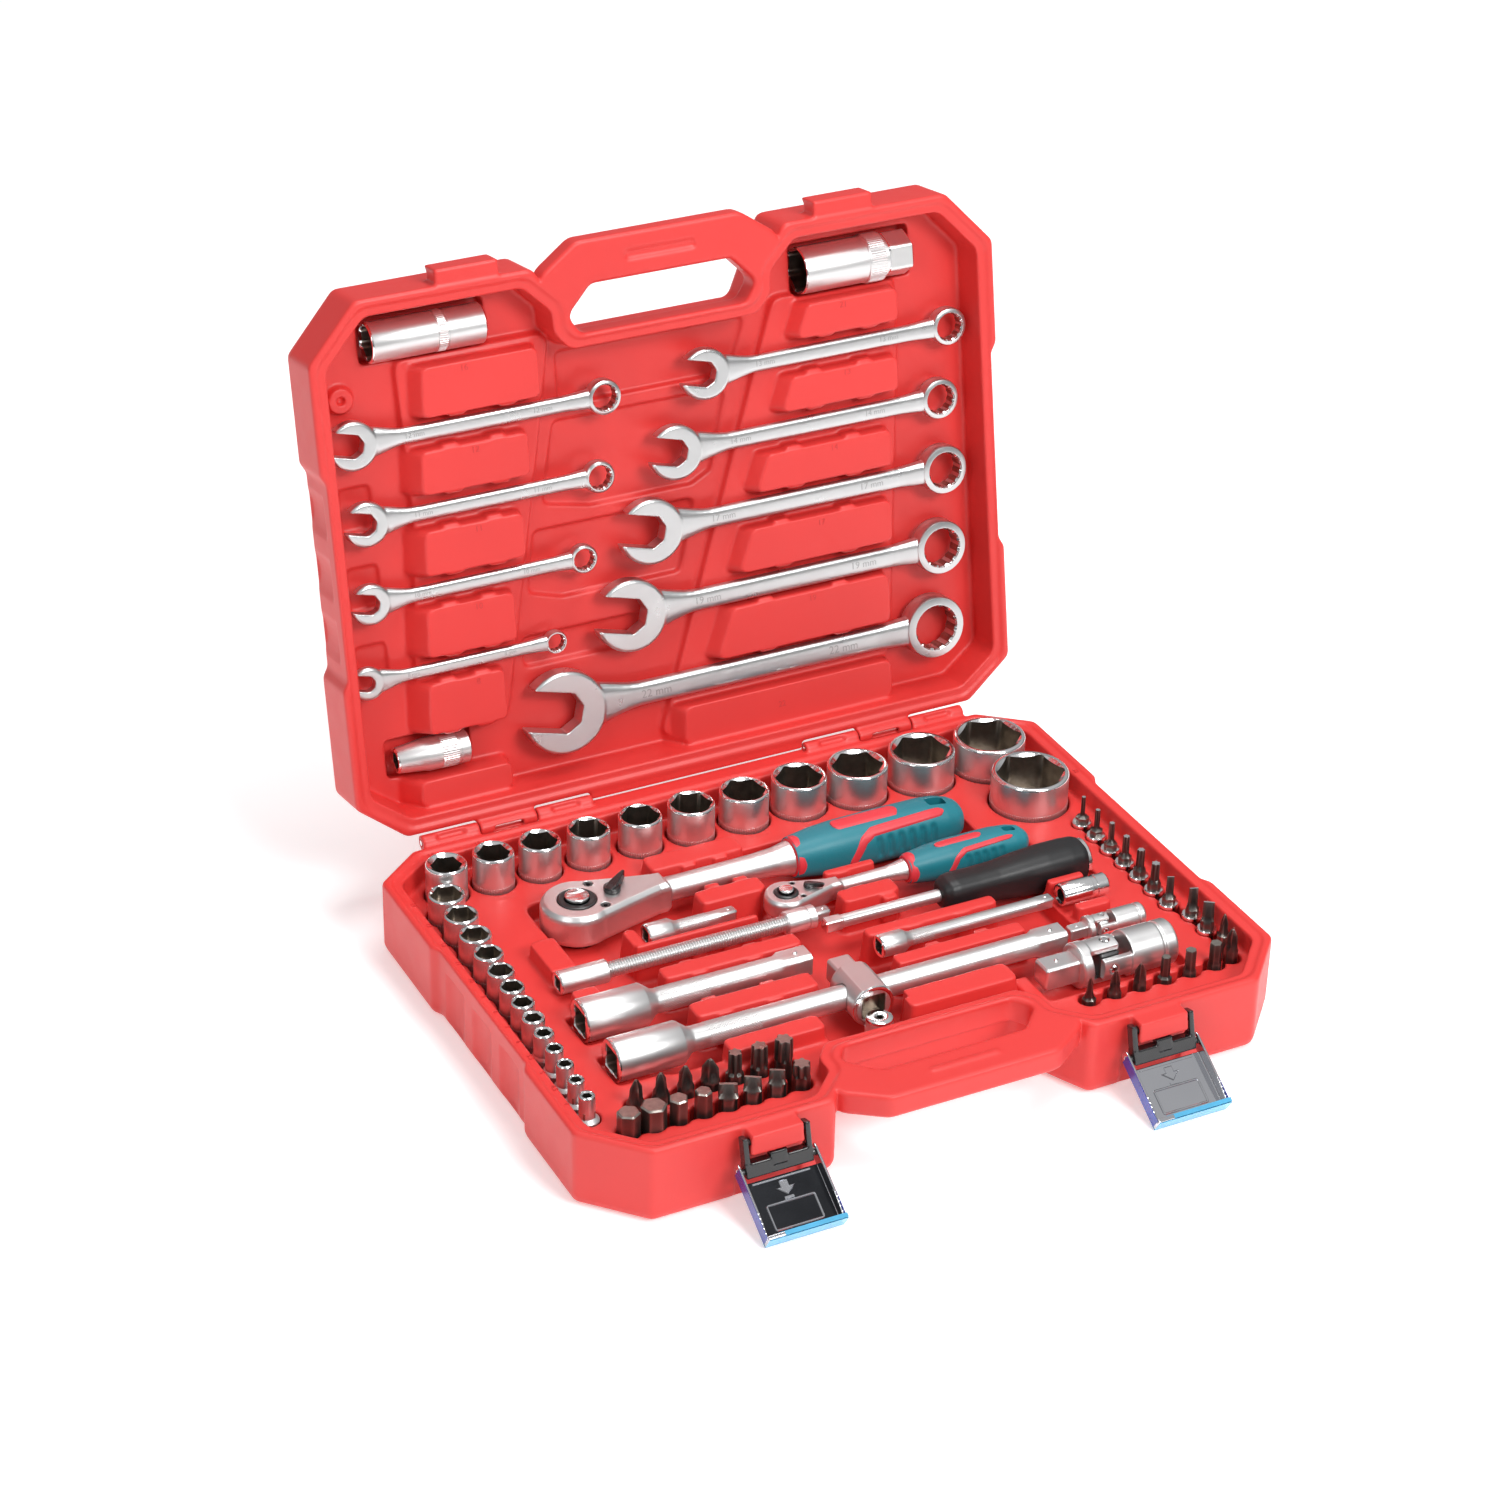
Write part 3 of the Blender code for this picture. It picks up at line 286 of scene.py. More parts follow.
def settle(obj, body, materials, node=None, sharp=32):
    """Shades a piece, gives it materials and a body, and hides the CAD node it stands in for if one is named.
    """
    kinds = np.zeros(len(obj.data.polygons), np.int32)
    obj.data.polygons.foreach_get("material_index", kinds)
    obj.data.materials.clear()
    for mat in materials if isinstance(materials, list) else [materials]:
        obj.data.materials.append(mat)
    obj.data.polygons.foreach_set("material_index", kinds)
    obj.data.name = obj.name
    obj.data.shade_smooth()
    if sharp:
        obj.data.set_sharp_from_angle(angle=math.radians(sharp))
    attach(obj, body)
    if node:
        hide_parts(node)


def piece(name, parts, body, materials, node=None, matrix=None, sharp=32):
    settle(wrap(name, mesh_of(parts, matrix)), body, materials, node, sharp)


def chromed(name, parts, body, node=None, matrix=None, materials=CHROME):
    piece(name, parts, body, materials, node, matrix)


def applied(obj):
    """Makes an object's modifiers part of its mesh."""
    mesh = bpy.data.meshes.new_from_object(obj.evaluated_get(bpy.context.evaluated_depsgraph_get()))
    obj.modifiers.clear()
    old, obj.data = obj.data, mesh
    bpy.data.meshes.remove(old)


def boolean(target, parts, operation):
    for part in parts:
        tool = wrap("tool", mesh_of([part]))
        modifier = target.modifiers.new("cut", "BOOLEAN")
        modifier.operation, modifier.solver, modifier.object = operation, "MANIFOLD", tool
        applied(target)
        mesh = tool.data
        bpy.data.objects.remove(tool)
        bpy.data.meshes.remove(mesh)


def join(target, *parts):
    boolean(target, parts, "UNION")


def cut(target, *parts):
    boolean(target, parts, "DIFFERENCE")


def moulded(obj, voxel, smoothing, keep):
    """Rounds every edge and inner corner, as a moulding or a forging has them."""
    remesh = obj.modifiers.new("remesh", "REMESH")
    remesh.mode, remesh.voxel_size = "VOXEL", voxel * COARSE * MM
    soften = obj.modifiers.new("soften", "SMOOTH")
    soften.factor, soften.iterations = 0.5, smoothing
    obj.modifiers.new("fewer", "DECIMATE").ratio = keep
    applied(obj)


def forged(name, parts, mould, body, material, node, matrix, cuts=()):
    """A rounded piece from parts that are joined, and cutters that are then taken out."""
    obj = wrap(name, mesh_of(parts[:1]))
    join(obj, *parts[1:])
    cut(obj, *cuts)
    moulded(obj, *mould)
    move_mesh(obj.data, matrix)
    settle(obj, body, material, node, sharp=0)


def lettering(words, thickness, material, name, body, matrix):
    """Raised numerals, each (text, height, matrix)."""
    bm = bmesh.new()
    for text, height, place in words:
        curve = bpy.data.curves.new("text", "FONT")
        curve.body, curve.size, curve.extrude = text, height * MM, thickness / 2 * MM
        curve.align_x, curve.align_y, curve.resolution_u = "CENTER", "CENTER", 3
        holder = wrap("text", curve)
        evaluated = holder.evaluated_get(bpy.context.evaluated_depsgraph_get())
        mesh = bpy.data.meshes.new_from_object(evaluated)
        bpy.data.objects.remove(holder)
        move_mesh(mesh, matrix @ place)
        bm.from_mesh(mesh)
        bpy.data.meshes.remove(mesh)
    mesh = bpy.data.meshes.new(name)
    bm.to_mesh(mesh)
    bm.free()
    settle(wrap(name, mesh), body, material)


# --- outlines ---

def mirrored(half):
    return half + [(-x, y) for x, y in reversed(half)]


def normal(direction):
    return Vector((-direction.y, direction.x))


def corners(outline):
    """Each point of a closed outline, between the ones before and after it."""
    points = [Vector(point) for point in outline]
    return zip(points[-1:] + points[:-1], points, points[1:] + points[:1])


def rounded_corners(outline, radius, steps=5):
    """A closed outline with a curve at each corner, as large as its sides allow."""
    result = []
    for before, point, after in corners(outline):
        back, ahead = before - point, after - point
        reach = min(radius / math.tan(back.angle(ahead) / 2), 0.48 * back.length, 0.48 * ahead.length)
        start, end = point + back.normalized() * reach, point + ahead.normalized() * reach
        for i in range(steps + 1):
            t = i / steps
            result.append(tuple(start * (1 - t) ** 2 + point * 2 * t * (1 - t) + end * t ** 2))
    return result


def inset(outline, distance):
    result = []
    for before, point, after in corners(outline):
        first, second = normal((point - before).normalized()), normal((after - point).normalized())
        middle = (first + second).normalized()
        result.append(tuple(point + middle * (distance / middle.dot(first))))
    return result


def band(points, widths):
    """The outline of a band along a polyline, with a half width for each point."""
    points = [Vector(point) for point in points]
    right, left = [], []
    for i, (point, width) in enumerate(zip(points, widths)):
        steps = [(b - a).normalized() for a, b in zip(points[max(i - 1, 0):i + 1], points[max(i, 1):i + 2])]
        first, second = normal(steps[0]), normal(steps[-1])
        middle = (first + second).normalized()
        reach = middle * (width / middle.dot(first))
        right.append(tuple(point - reach))
        left.append(tuple(point + reach))
    return right + left[::-1]


def rectangle(x0, x1, y0, y1):
    return [(x0, y0), (x1, y0), (x1, y1), (x0, y1)]


def prism(outline, z0, z1):
    return loft([(outline, z0), (outline, z1)])


def tiers(outline, *levels):
    """A solid from copies of an outline, each (how far inset, z)."""
    return loft([(inset(outline, step) if step else outline, z) for step, z in levels])


def box(x0, x1, y0, y1, z0, z1):
    return prism(rectangle(x0, x1, y0, y1), z0, z1)


def slab(x0, x1, y0, y1, z0, z1, radius):
    """A box with rounded upright edges."""
    return prism(rounded_corners(rectangle(x0, x1, y0, y1), radius), z0, z1)


def pill(z0, z1, radius, centre=(0, 0), n=48):
    return at(turned([(z0, radius), (z1, radius)], n), *centre)


def inner_outline(grow=0.0):
    x, y = 183, 132.7
    half = [(53, -97), (61, -107), (61, -118), (76, -y), (161, -y), (x, -109), (x, 117), (162, y)]
    return rounded_corners(inset(mirrored(half), -grow), 9 + grow)


BODY = rounded_corners(mirrored([
    (50, -101), (64, -130), (70, -141.7), (165, -141.7), (192, -112.7), (192, -57), (189, -52), (189, 52),
    (192, 57), (192, 120.7), (166, 141.7)]), 6)
HANDLE = rounded_corners(mirrored([(46, -151.7), (67, -137), (67, -100)]), 10)
FINGER_GAP = rounded_corners(mirrored([(39, -128.5), (53, -114), (46, -104)]), 6)


# --- case ---

CASE_MOULD = (0.9, 4, 0.42)  # voxel, rounds of smoothing, share of the triangles kept


def half_case(name, rim, up, depth):
    """One half of the case before its inside is cut; up is the direction from its rim to its outer face."""
    far, handle_end = rim + up * depth, rim + up * 14
    shell = wrap(name, mesh_of([tiers(BODY, (0.9, rim), (0, rim + up * 1.2), (0, far - up * 5.5),
                                      (1.2, far - up * 2.2), (4.2, far))]))
    join(shell, tiers(HANDLE, (0.9, rim), (0, rim + up * 1.2), (0, handle_end - up * 3), (3, handle_end)))
    cut(shell, prism(FINGER_GAP, rim - up, rim + up * 15))
    bar = rounded_corners(rectangle(-19, 19, -141.9, -138.1), 1.9)
    if up < 0:
        join(shell, tiers(bar, (0, rim - 2), (0.2, rim + 0.35), (0.8, rim + 0.7)))
    else:
        cut(shell, tiers(bar, (-1.1, rim - 0.4), (-0.6, rim + 1.2)))
    cut(shell, tiers(FINGER_GAP, (-1.6, rim - up * 0.4), (0, rim + up * 1.6)))
    low, high = sorted((rim + up * 9, far - up * 3))
    cut(shell, *(pill(low, high, 30, (side * 216.6, y)) for side in (-1, 1) for y in (-33, 0, 33)))
    cut(shell, prism(inner_outline(5.2), rim - up * 0.5, rim + up * 1.3))
    return shell


def block(x0, x1, y0, y1, z0, z1, corner=5.0, draft=1.8):
    radius = min(corner, (x1 - x0) / 2.2, (y1 - y0) / 2.2)
    return tiers(rounded_corners(rectangle(x0, x1, y0, y1), radius), (-0.3, z0), (draft, z1))


def add_knuckles(case, start, end, z, foot, notch):
    """A hinge knuckle on each side, on a foot (z range) and with a notch (y and z ranges)."""
    for side in (-1, 1):
        x0, x1 = sorted((side * start, side * end))
        middle = (x0 + x1) / 2
        join(case, box(x0, x1, BACK_WALL, HINGE_Y, *foot), rod(x0, x1, 4, HINGE_Y, z))
        cut(case, box(middle - 8, middle + 8, *notch), rod(x0 - 1, x1 + 1, 1.9, HINGE_Y, z))


BLOCKS = [(-62, -6, 76, 93), (-52, -12, 37, 53), (-99, -28, 13, 22), (-100, -90, 18, 36),
          (-98, -19, -15, -1), (-98, -28, -51, -35), (-96, -42, -84, -69), (-146, -129, 10, 46),
          (-145, -128, -13, -1), (17, 49, 35, 43), (14, 49, 8, 23), (10, 88, -24, -13), (12, 88, -53, -40),
          (0, 63, -87, -69), (117, 141, -21, -13), (118, 141, -48, -38), (118, 142, -72, -67)]
CLIPS = [(-80, -0.2), (-45, -0.2), (-78, -15.8), (-48, -15.8), (-84, -34.4), (-52, -34.4), (-82, -51.6),
         (-55, -51.6), (-80, -68.4), (-58, -68.4), (38, -23.6), (66, -23.6), (38, -40.4), (66, -40.4),
         (36, -53.6), (66, -53.6), (20, -68.4), (46, -68.4), (-40, 75), (-22, 75), (-38, 54), (-22, 54),
         (28, 34.2), (28, 23.6), (40, 7.4), (-66, 22.6), (-48, 22.6), (-66, 12.4), (-48, 12.4)]
# Half-inch-drive sockets: size, outside diameter, x, y.
SOCKETS = [(14, 21.5, -158.5, 115), (15, 21.5, -132.5, 115), (16, 22, -106.5, 115), (17, 22.5, -79, 115),
           (18, 23, -49.5, 115), (19, 25, -20, 115), (20, 26.5, 11, 115), (22, 29.5, 43.5, 115),
           (24, 32.5, 77.5, 113), (27, 36, 116, 112), (30, 39, 156.5, 109.5), (32, 41.5, 157.5, 67.7)]
SOCKET_FLOOR, SMALL_FLOOR = 10, 18
# Quarter-inch-drive sockets: size and mouth diameter. A narrow mouth stands on a wider drive end.
SMALL = [(14, 19), (13, 17.7), (12, 16.8), (11, 15.3), (10, 13.8), (9, 12.7), (8, 12), (7, 11.6),
         (6, 10.2), (5.5, 9), (5, 8.6), (4.5, 8.2), (4, 8)]
DRIVE_END = 11.8
BITS = [(171, 35 - 14.25 * i) for i in range(7)]
BITS += [(176, -64.5), (176, -78.7), (177.3, -91.5), (173.5, -104.5)]
BIT_ROW = [(163 - 14.6 * i, -106) for i in range(6)]
BIG_BACK = [(-149 + 13 * i, -90) for i in range(7)]
BIG_FRONT = [(-161 + 90.5 / 7 * i, -107.5) for i in range(8)]
# Where each straight tool starts: x, y, z.
EXTENSION_250, EXTENSION_125 = (-148, -60, 35), (-148, -24, 35)
EXTENSION_100, EXTENSION_50, FLEXIBLE = (13, -30, 36), (-88, 28, 36), (-145, 8.5, 36)
ABOVE = 48  # where the tray's cutters end, clear of the rim


def small_places():
    """x, y, size and mouth diameter of each quarter-inch-drive socket, from the back."""
    y, last = 96.0, None
    for i, (size, mouth) in enumerate(SMALL):
        wide = max(mouth, DRIVE_END)
        if last:
            y -= (last + wide) / 2 + 1.9
        last = wide
        yield -166.5 - 7.5 * i / 12, y, size, mouth


def channel(x0, x1, y, half, floor):
    return slab(x0, x1, y - half, y + half, floor, ABOVE, 2.5)


def tray_cuts():
    yield pill(21, ABOVE, 20.5, (-108, 66), 64)
    yield pill(5.5, 41, 11.5, (-108, 66))
    yield pill(19, ABOVE, 13.0, (-8, 29.5), 48)
    for sides in ((-98, 16, 66, 9.5, 21), (11, 116, 66, 15.0, 18.8), (-3, 64, 29.5, 6.5, 24),
                  (60, 136, 29.5, 11.5, 21.5), (-4, 64, -0.5, 5.0, 28), (60, 153, -0.5, 13.5, 22),
                  (116, 149, -28, 7, 29), (104, 152, -60, 7.8, 29), (72, 152, -85, 14, 22.5),
                  (-30.5, 4.5, -55, 22, 19)):
        yield channel(*sides)
    yield pill(19, ABOVE, 8.5, (-15, -83))
    for (x, y, z), length, end, wide, narrow in (
            (EXTENSION_250, 250, 38, 12.5, 9.5), (EXTENSION_125, 125, 36, 12.5, 9.5),
            (EXTENSION_100, 100, 16, 7.5, 7), (EXTENSION_50, 50, 16, 7.5, 7), (FLEXIBLE, 150, 28, 7.5, 9)):
        yield channel(x - 2, x + end + 3, y, wide, z - wide + 0.9)
        yield channel(x + end, x + length + 2, y, narrow, z - wide + 1.5)
    for _, outside, x, y in SOCKETS:
        yield pill(SOCKET_FLOOR - 0.6, ABOVE, outside / 2 + 1.2, (x, y), 64)
    places = list(small_places())
    route = [places[0][:2], places[6][:2], places[-1][:2]]
    yield prism(band(route, [8.0, 5.5, 4.5]), SMALL_FLOOR - 0.6, ABOVE)
    for x, y, _, mouth in places:
        yield pill(SMALL_FLOOR - 0.6, ABOVE, max(mouth, DRIVE_END) / 2 + 1.0, (x, y), 32)
    for row, half, radius, floor in ((BITS + BIT_ROW, 2.5, 5.6, 20.4), (BIG_BACK, 4.0, 6.0, 13.4),
                                     (BIG_FRONT, 4.0, 6.0, 13.4)):
        yield prism(band(row, [half] * len(row)), floor, ABOVE)
        for place in row:
            yield pill(floor, ABOVE, radius, place, 24)
    yield box(-75, -67, -107, -90, 13.4, ABOVE)


def make_base():
    base = half_case("case_base_shell", BASE_TOP, -1, BASE_TOP)
    cut(base, tiers(inner_outline(), (0.8, 29.5), (0, 44)), slab(-128, 117, -75, 88, 19, 42, 8),
        slab(-42, 64, -92, -70, 19, 42, 6))
    join(base, *(block(*sides, 18, 38) for sides in BLOCKS))
    clip = rounded_corners(rectangle(-4, 4, -2, 2), 1.5)
    join(base, *(at(tiers(clip, (-0.6, 22), (0, 37)), x, y) for x, y in CLIPS))
    cut(base, *tray_cuts())
    for _, outside, x, y in SOCKETS[:-1]:
        cut(base, slab(x - 6, x + 6, y - outside / 2 - 6, y, 29, 33, 3))
    join(base, box(*LIP, BACK_WALL, 148.3, 38.4, 41.75))
    for start, end in ((63, 94.9), (127.6, 159.5)):
        add_knuckles(base, start, end, BASE_TOP, (36, 41.8), (142.6, 145.4, 43.2, 47))
    for x in (-LATCH_X, LATCH_X):
        join(base, block(x - 14, x + 14, -151.2, -138, 31, 41.4, 1.5, 0.6))
        cut(base, rod(x - 16, x + 16, 1.9, LUG_Y, LUG_Z), block(x - 17, x + 17, -143.2, -139, 1, 20, 2, 0.2))
    moulded(base, *CASE_MOULD)
    settle(base, "base", RED, "case_base", sharp=0)
    tags = [(f"{size:g}", 3.6, -184.6, y, -90) for _, y, size, _ in small_places()]
    tags += [(str(size), 3.8, x, 135.6, 0) for size, _, x, _ in SOCKETS[:10]]
    tags += [("30", 3.8, 178, 128.4, -39), ("32", 3.8, 185.6, 67, -90)]
    words = [(text, height, shift(x, y, 40.75) @ spin(turn)) for text, height, x, y, turn in tags]
    lettering(words, 0.5, RED_TEXT, "case_base_numerals", "base", Matrix.Identity(4))


# The pads between the wrenches, as x and y ranges, and the numeral on each: text, x, y.
PADS = [(-133, -67, -100, -73), (-154, -101, 117, 132), (77, 139, -95, -76), (-3, 124, 110, 132),
        (-137, -76, -57.2, -33.3), (-139.3, -82.6, -15.6, 9.4), (-142.4, -91.3, 25.5, 52.6),
        (-145.6, -100.5, 65.4, 94), (65.8, 137.2, -58, -38.4), (48, 131, -19, 2.2), (35, 129, 20, 44),
        (19, 125, 61, 89)]
PAD_NAMES = [("16", -108, -96), ("21", 106, -91), ("22", 56, 121), ("12", -106, -53), ("11", -108, -11.5),
             ("10", -112, 29.5), ("8", -116, 69.5), ("13", 106, -54.5), ("14", 96, -15), ("17", 86, 24.5),
             ("19", 78, 65.5)]


def lid_pad(x0, x1, y0, y1):
    """A pad that leans on its left, with a rounded top."""
    lean = (0.42 if x0 > 0 else 0.06) * (y1 - y0)
    levels = []
    for left, right, grow, z in ((-8, 1, 0.4, 23), (1, -0.8, -0.6, 9)):
        low, high = y0 - grow, y1 + grow
        shape = [(x0 + left + lean, low), (x1 + right, low), (x1 + right, high), (x0 + left, high)]
        levels.append((rounded_corners(shape, 4), z))
    return loft(levels)


def lid_clips():
    """The small stops on the pads' edges, two on each side of every wrench."""
    for x0, x1, y0, y1 in PADS:
        for share in (0.3, 0.72):
            x = x0 + (x1 - x0) * share
            for y, out in ((y0, -1), (y1, 1)):
                if abs(y) < 96 and not (x0 > 0 and y0 < -90 and out < 0):
                    low, high = sorted((y - out * 3, y + out * 1.1))
                    yield loft([(rectangle(x - 5, x + 5, low, high), 20),
                                (rectangle(x - 4, x + 4, low, high), 10.2)])


def make_lid():
    lid = half_case("case_lid_shell", 0.3, 1, LID_DEPTH - 0.6)
    cut(lid, tiers(inner_outline(), (0, -1), (1.2, 22)))
    left = rounded_corners([(-141, -103), (-58, -103), (-66, -60), (-98, 95), (-149, 95), (-139, -20)], 6)
    right = rounded_corners([(70, -98), (141, -98), (141, -60), (128, 98), (120, 128), (-12, 128)], 6)
    join(lid, tiers(left, (-2, 23), (0, 17.6)), tiers(right, (-2, 23), (0, 17.8)))
    for panel in ([(-54, -92), (56, -92), (44, -62), (-54, -62)],
                  [(-58, -56), (42, -56), (30, -12), (18, -6), (-40, -6), (-68, -12)],
                  [(-74, 0), (20, 0), (8, 40), (-60, 40), (-80, 34)],
                  [(-86, 56), (-4, 56), (-12, 74), (-86, 74)]):
        cut(lid, tiers(rounded_corners(panel, 5), (-0.8, 20.5), (1.5, 24.6)))
    for y in (-30, 12, 54):
        cut(lid, loft([(rounded_corners(rectangle(-178, -158, y - 13, y + 13), 4), 20.5),
                       (rounded_corners(rectangle(-176, -160, y - 11, y + 11), 3), 24)]))
    join(lid, *(lid_pad(*sides) for sides in PADS), *lid_clips())
    join(lid, at(turned([(18, 6.5), (23, 7.5)], 32), -171, -88))
    cut(lid, pill(17, 21, 2.2, (-171, -88), 24), slab(-158, -90, -127, -103, 1, 30.2, 3),
        slab(82, 153, -124, -96.5, 1, 33.4, 3), slab(-166, -119, 95.5, 116.5, 1, 27.8, 3))
    for x in (-LATCH_X, LATCH_X):
        join(lid, box(x - 17, x + 17, -149.8, -139, 1.0, 13.2), box(x - 17, x + 17, -149.8, -147.8, 12, 15.2))
    join(lid, box(*LIP, BACK_WALL, 145.7, 0.7, 3.4))
    add_knuckles(lid, 95.3, 127.2, 0, (0.6, 3.2), (HINGE_Y - 1.2, HINGE_Y + 5, -5, -1.0))
    moulded(lid, *CASE_MOULD)
    turn = LID @ shift(0, -HINGE_Y, 0)
    move_mesh(lid.data, turn)
    settle(lid, "lid", RED, "case_lid", sharp=0)
    words = [(text, 4.6, shift(x, y, 9.0) @ FLIP) for text, x, y in PAD_NAMES]
    lettering(words, 0.4, RED_TEXT, "case_lid_numerals", "lid", turn)


# --- latches ---

def make_latches():
    arm = rounded_corners(rectangle(-1.45, 1.45, -3.1, 3.1), 1.2)
    thumb = rounded_corners(rectangle(-4.5, 4.5, -3.4, 2.0), 1.5)
    bar = [box(-17.5, 17.5, -3.1, 3.1, -17, -9.6), prism(thumb, -13, -6.8)]
    arms = [at(prism(arm, -14.5, 2.9), x) for x in (-16.05, 16.05)]
    pins = [rod(-16, 16, 1.5, n=20),
            along_x(turned([(-20.25, 1.1), (-20.2, 1.5), (20.2, 1.5), (20.25, 1.1)], 20), 0, 0, -14)]
    for side, word in ((-1, "left"), (1, "right")):
        body = "latch_link_" + word
        lug = shift(side * LATCH_X, LUG_Y, LUG_Z) @ spin(-15, "X")
        forged(body + "_moulding", bar + arms, (0.4, 2, 0.5), body, BLACK, body, lug)
        piece("latch_pins_" + word, pins, body, BLACK_STEEL, matrix=lug)
        make_plate(word, lug @ shift(0, 0, -14) @ spin(15, "X") @ spin(122, "X"))


def in_profile(outline, x0, x1):
    """An outline of (y, z) drawn out along X."""
    return skin([np.array([(x, y, z) for y, z in outline], float) for x in (x0, x1)])


def stamped(levels, closed=False):
    """A shape through (outline of x and z, y) levels, as pressed into the plate."""
    rings = [np.array([(x, y, z) for x, z in outline], float) for outline, y in levels]
    return skin(rings, 0, closed)


def make_plate(word, spot):
    """A pressed plate with side flanges, a rolled lip, a stamped panel and the film it is sold with."""
    body = "latch_plate_" + word
    flange = rounded_corners([(-4.0, -3.6), (3.0, -3.6), (3.0, 22), (1.4, 35), (-4.0, 35)], 1.6)
    lip = [(-4, 34), (-4, 36.2), (3.6, 36.2), (4.5, 35.6), (4.5, 33.8), (3.4, 33.8), (3.4, 35.1),
           (-2.9, 35.1), (-2.9, 34)]
    parts = [box(-20.4, 20.4, -4, -2.9, 5, 35), in_profile(flange, -20.4, -19.3),
             in_profile(flange, 19.3, 20.4), in_profile(lip, -20.4, 20.4)]
    forged(body + "_pressing", parts, (0.3, 2, 0.35), body, PLATE, body, spot,
           [rod(-25, 25, 1.8)])

    def sheet(name, boxes, material):
        piece(f"latch_{name}_{word}", boxes, body, material, matrix=spot)

    panel = rounded_corners(rectangle(-13, 13, 17.5, 31), 1.5)
    frame_ring = stamped([(panel, -3.2), (panel, -2.75), (inset(panel, 0.3), -2.45),
                          (inset(panel, 0.8), -2.45), (inset(panel, 1.1), -2.75),
                          (inset(panel, 1.1), -3.2)], True)
    arrow = [(-2.2, 8), (2.2, 8), (2.2, 11), (5, 11), (0, 15.5), (-5, 11), (-2.2, 11)]
    mark = stamped([(arrow, -3.2), (arrow, -2.7), (inset(arrow, 0.35), -2.4)])
    sheet("stamping", [frame_ring, mark, box(-15, 15, -3.2, -2.5, 6.0, 6.7),
                       box(-2.4, 2.4, -3.2, -2.5, 16.0, 17.2)], PLATE)
    sheet("film", [box(-20.55, 20.55, -4.15, -3.9, 29.5, 36.3), box(-20.55, 20.55, -4.15, 4.15, 36.15, 36.35),
                   box(-12, 19.2, -2.95, -2.75, 31.6, 35.0), box(-12, 20.3, 3.2, 3.42, 33.7, 36.2),
                   box(-12, 20.5, 4.42, 4.62, 33.7, 35.95)], FILM)
    # The left plate gets a thin dark sheet over its face: a painted dark reflection, not a coating that the
    # plate has
    if word == "left":
        sheet("painted_reflection", [box(-19.1, 19.1, -2.94, -2.8, 5.2, 34.4)], PAINTED_DARK_REFLECTION)
    sheet("edge_film", [box(x, x + 0.25, -4.1, 2.6, -1, 34.5) for x in (-20.6, 20.35)], DEEP_FILM)


# --- sockets and bits ---

def socket_part(size, outside, height, drive, depth, n=96):
    """A socket standing on its drive end, its hexagon open at the top."""
    r = outside / 2
    hexagon, square = polygon(6, size + 0.3, n, 0.2, 1.13), polygon(4, drive + 0.1, n, 0, 1.32)
    mouth = r - max(0.8, 0.055 * outside)
    corner = np.minimum(hexagon * 1.01, mouth)
    floor = height - depth
    return turned([(0, r - 1.2), (0.35, r - 0.4), (1.0, r), (height - 1.3, r, 1),
                   (height - 0.7, r - 0.15, 1), (height - 0.15, r - 0.7, 1), (height, r - 1.0, 1),
                   (height - 0.1, mouth, 1), (height - 0.35, mouth - 0.1, 1),
                   (height - 0.45 - 0.5 * (mouth - corner), corner, 2), (floor, hexagon, 2),
                   (floor, square * 1.02, 2), (floor - 0.6, square, 2), (0.6, square, 2),
                   (0, square * 1.05)], n, True)


def make_sockets():
    for size, outside, x, y in SOCKETS:
        parts = [socket_part(size, outside, 38, HALF_INCH, 20),
                 knurled(15.0, 21.2, outside / 2 + 0.02, int(math.pi * outside / 1.25), 0.16)]
        name = f"socket_{size}"
        chromed(name + "_turned", [at(part, x, y, SOCKET_FLOOR) for part in parts], name, name)
    for i, (x, y, size, mouth) in enumerate(small_places()):
        r = mouth / 2
        parts = [socket_part(size, mouth, 25, QUARTER_INCH, 9, 48)]
        if mouth < DRIVE_END:
            parts.append(turned([(0, 5.0), (0.5, 5.9), (11, 5.9), (12.6, r), (12.8, r - 0.6), (1.2, r - 0.6)],
                                48, True))
        parts.append(knurled(7, 11, max(r, 5.9) + 0.02, 40, 0.12))
        chromed(f"small_socket_{size:g}".replace(".", "_"), [at(part, x, y, SMALL_FLOOR) for part in parts],
                "small_sockets", None if i else "small_socket_row")


def cross_tip(radius, n):
    """A cross-head tip's section: four wings with hollows between them."""
    return radius * (1 - 0.5 * np.abs(np.sin(2 * angles(n))) ** 0.55)


def bit_part(kind, hexagon, low, shoulder, top, size):
    """A screwdriver bit: its hexagonal shank, its shoulder and its tip."""
    n, half, reach = 48, size / 2, top - shoulder
    shank = polygon(6, hexagon, n, 0, 1.13)
    if kind == "hex":
        key = polygon(6, size, n, 0, 1.14)
        tip = [(shoulder, np.minimum(shank, key * 1.02)), (shoulder + 0.4, key), (top - 0.5, key),
               (top, key * 0.9, 1)]
    elif kind == "torx":
        key = star(half, n)
        tip = [(shoulder, np.minimum(shank, half * 1.25)), (shoulder + 1.2, key * 1.06), (top - 0.5, key),
               (top, key * 0.92, 1)]
    elif kind == "slot":
        tip = [(z, rounded(size * thick / 2, size * wide / 2, 8, n), *ground) for z, thick, wide, *ground in (
            (shoulder + 0.5, 0.75, 1), (shoulder + 2.5, 0.4, 0.96), (top - 0.1, 0.17, 0.92),
            (top, 0.15, 0.9, 1))]
    else:
        tip = [(shoulder, half * 1.1), (shoulder + 0.12 * reach, half * 1.02),
               (shoulder + 0.4 * reach, cross_tip(half, n)),
               (shoulder + 0.62 * reach, cross_tip(half * 0.94, n)),
               (top - 0.6, cross_tip(half * 0.34, n), 1), (top, cross_tip(half * 0.16, n), 1)]
    return turned([(low, shank * 0.9), (low + 0.6, shank), (shoulder - 1.2, shank), *tip], n)


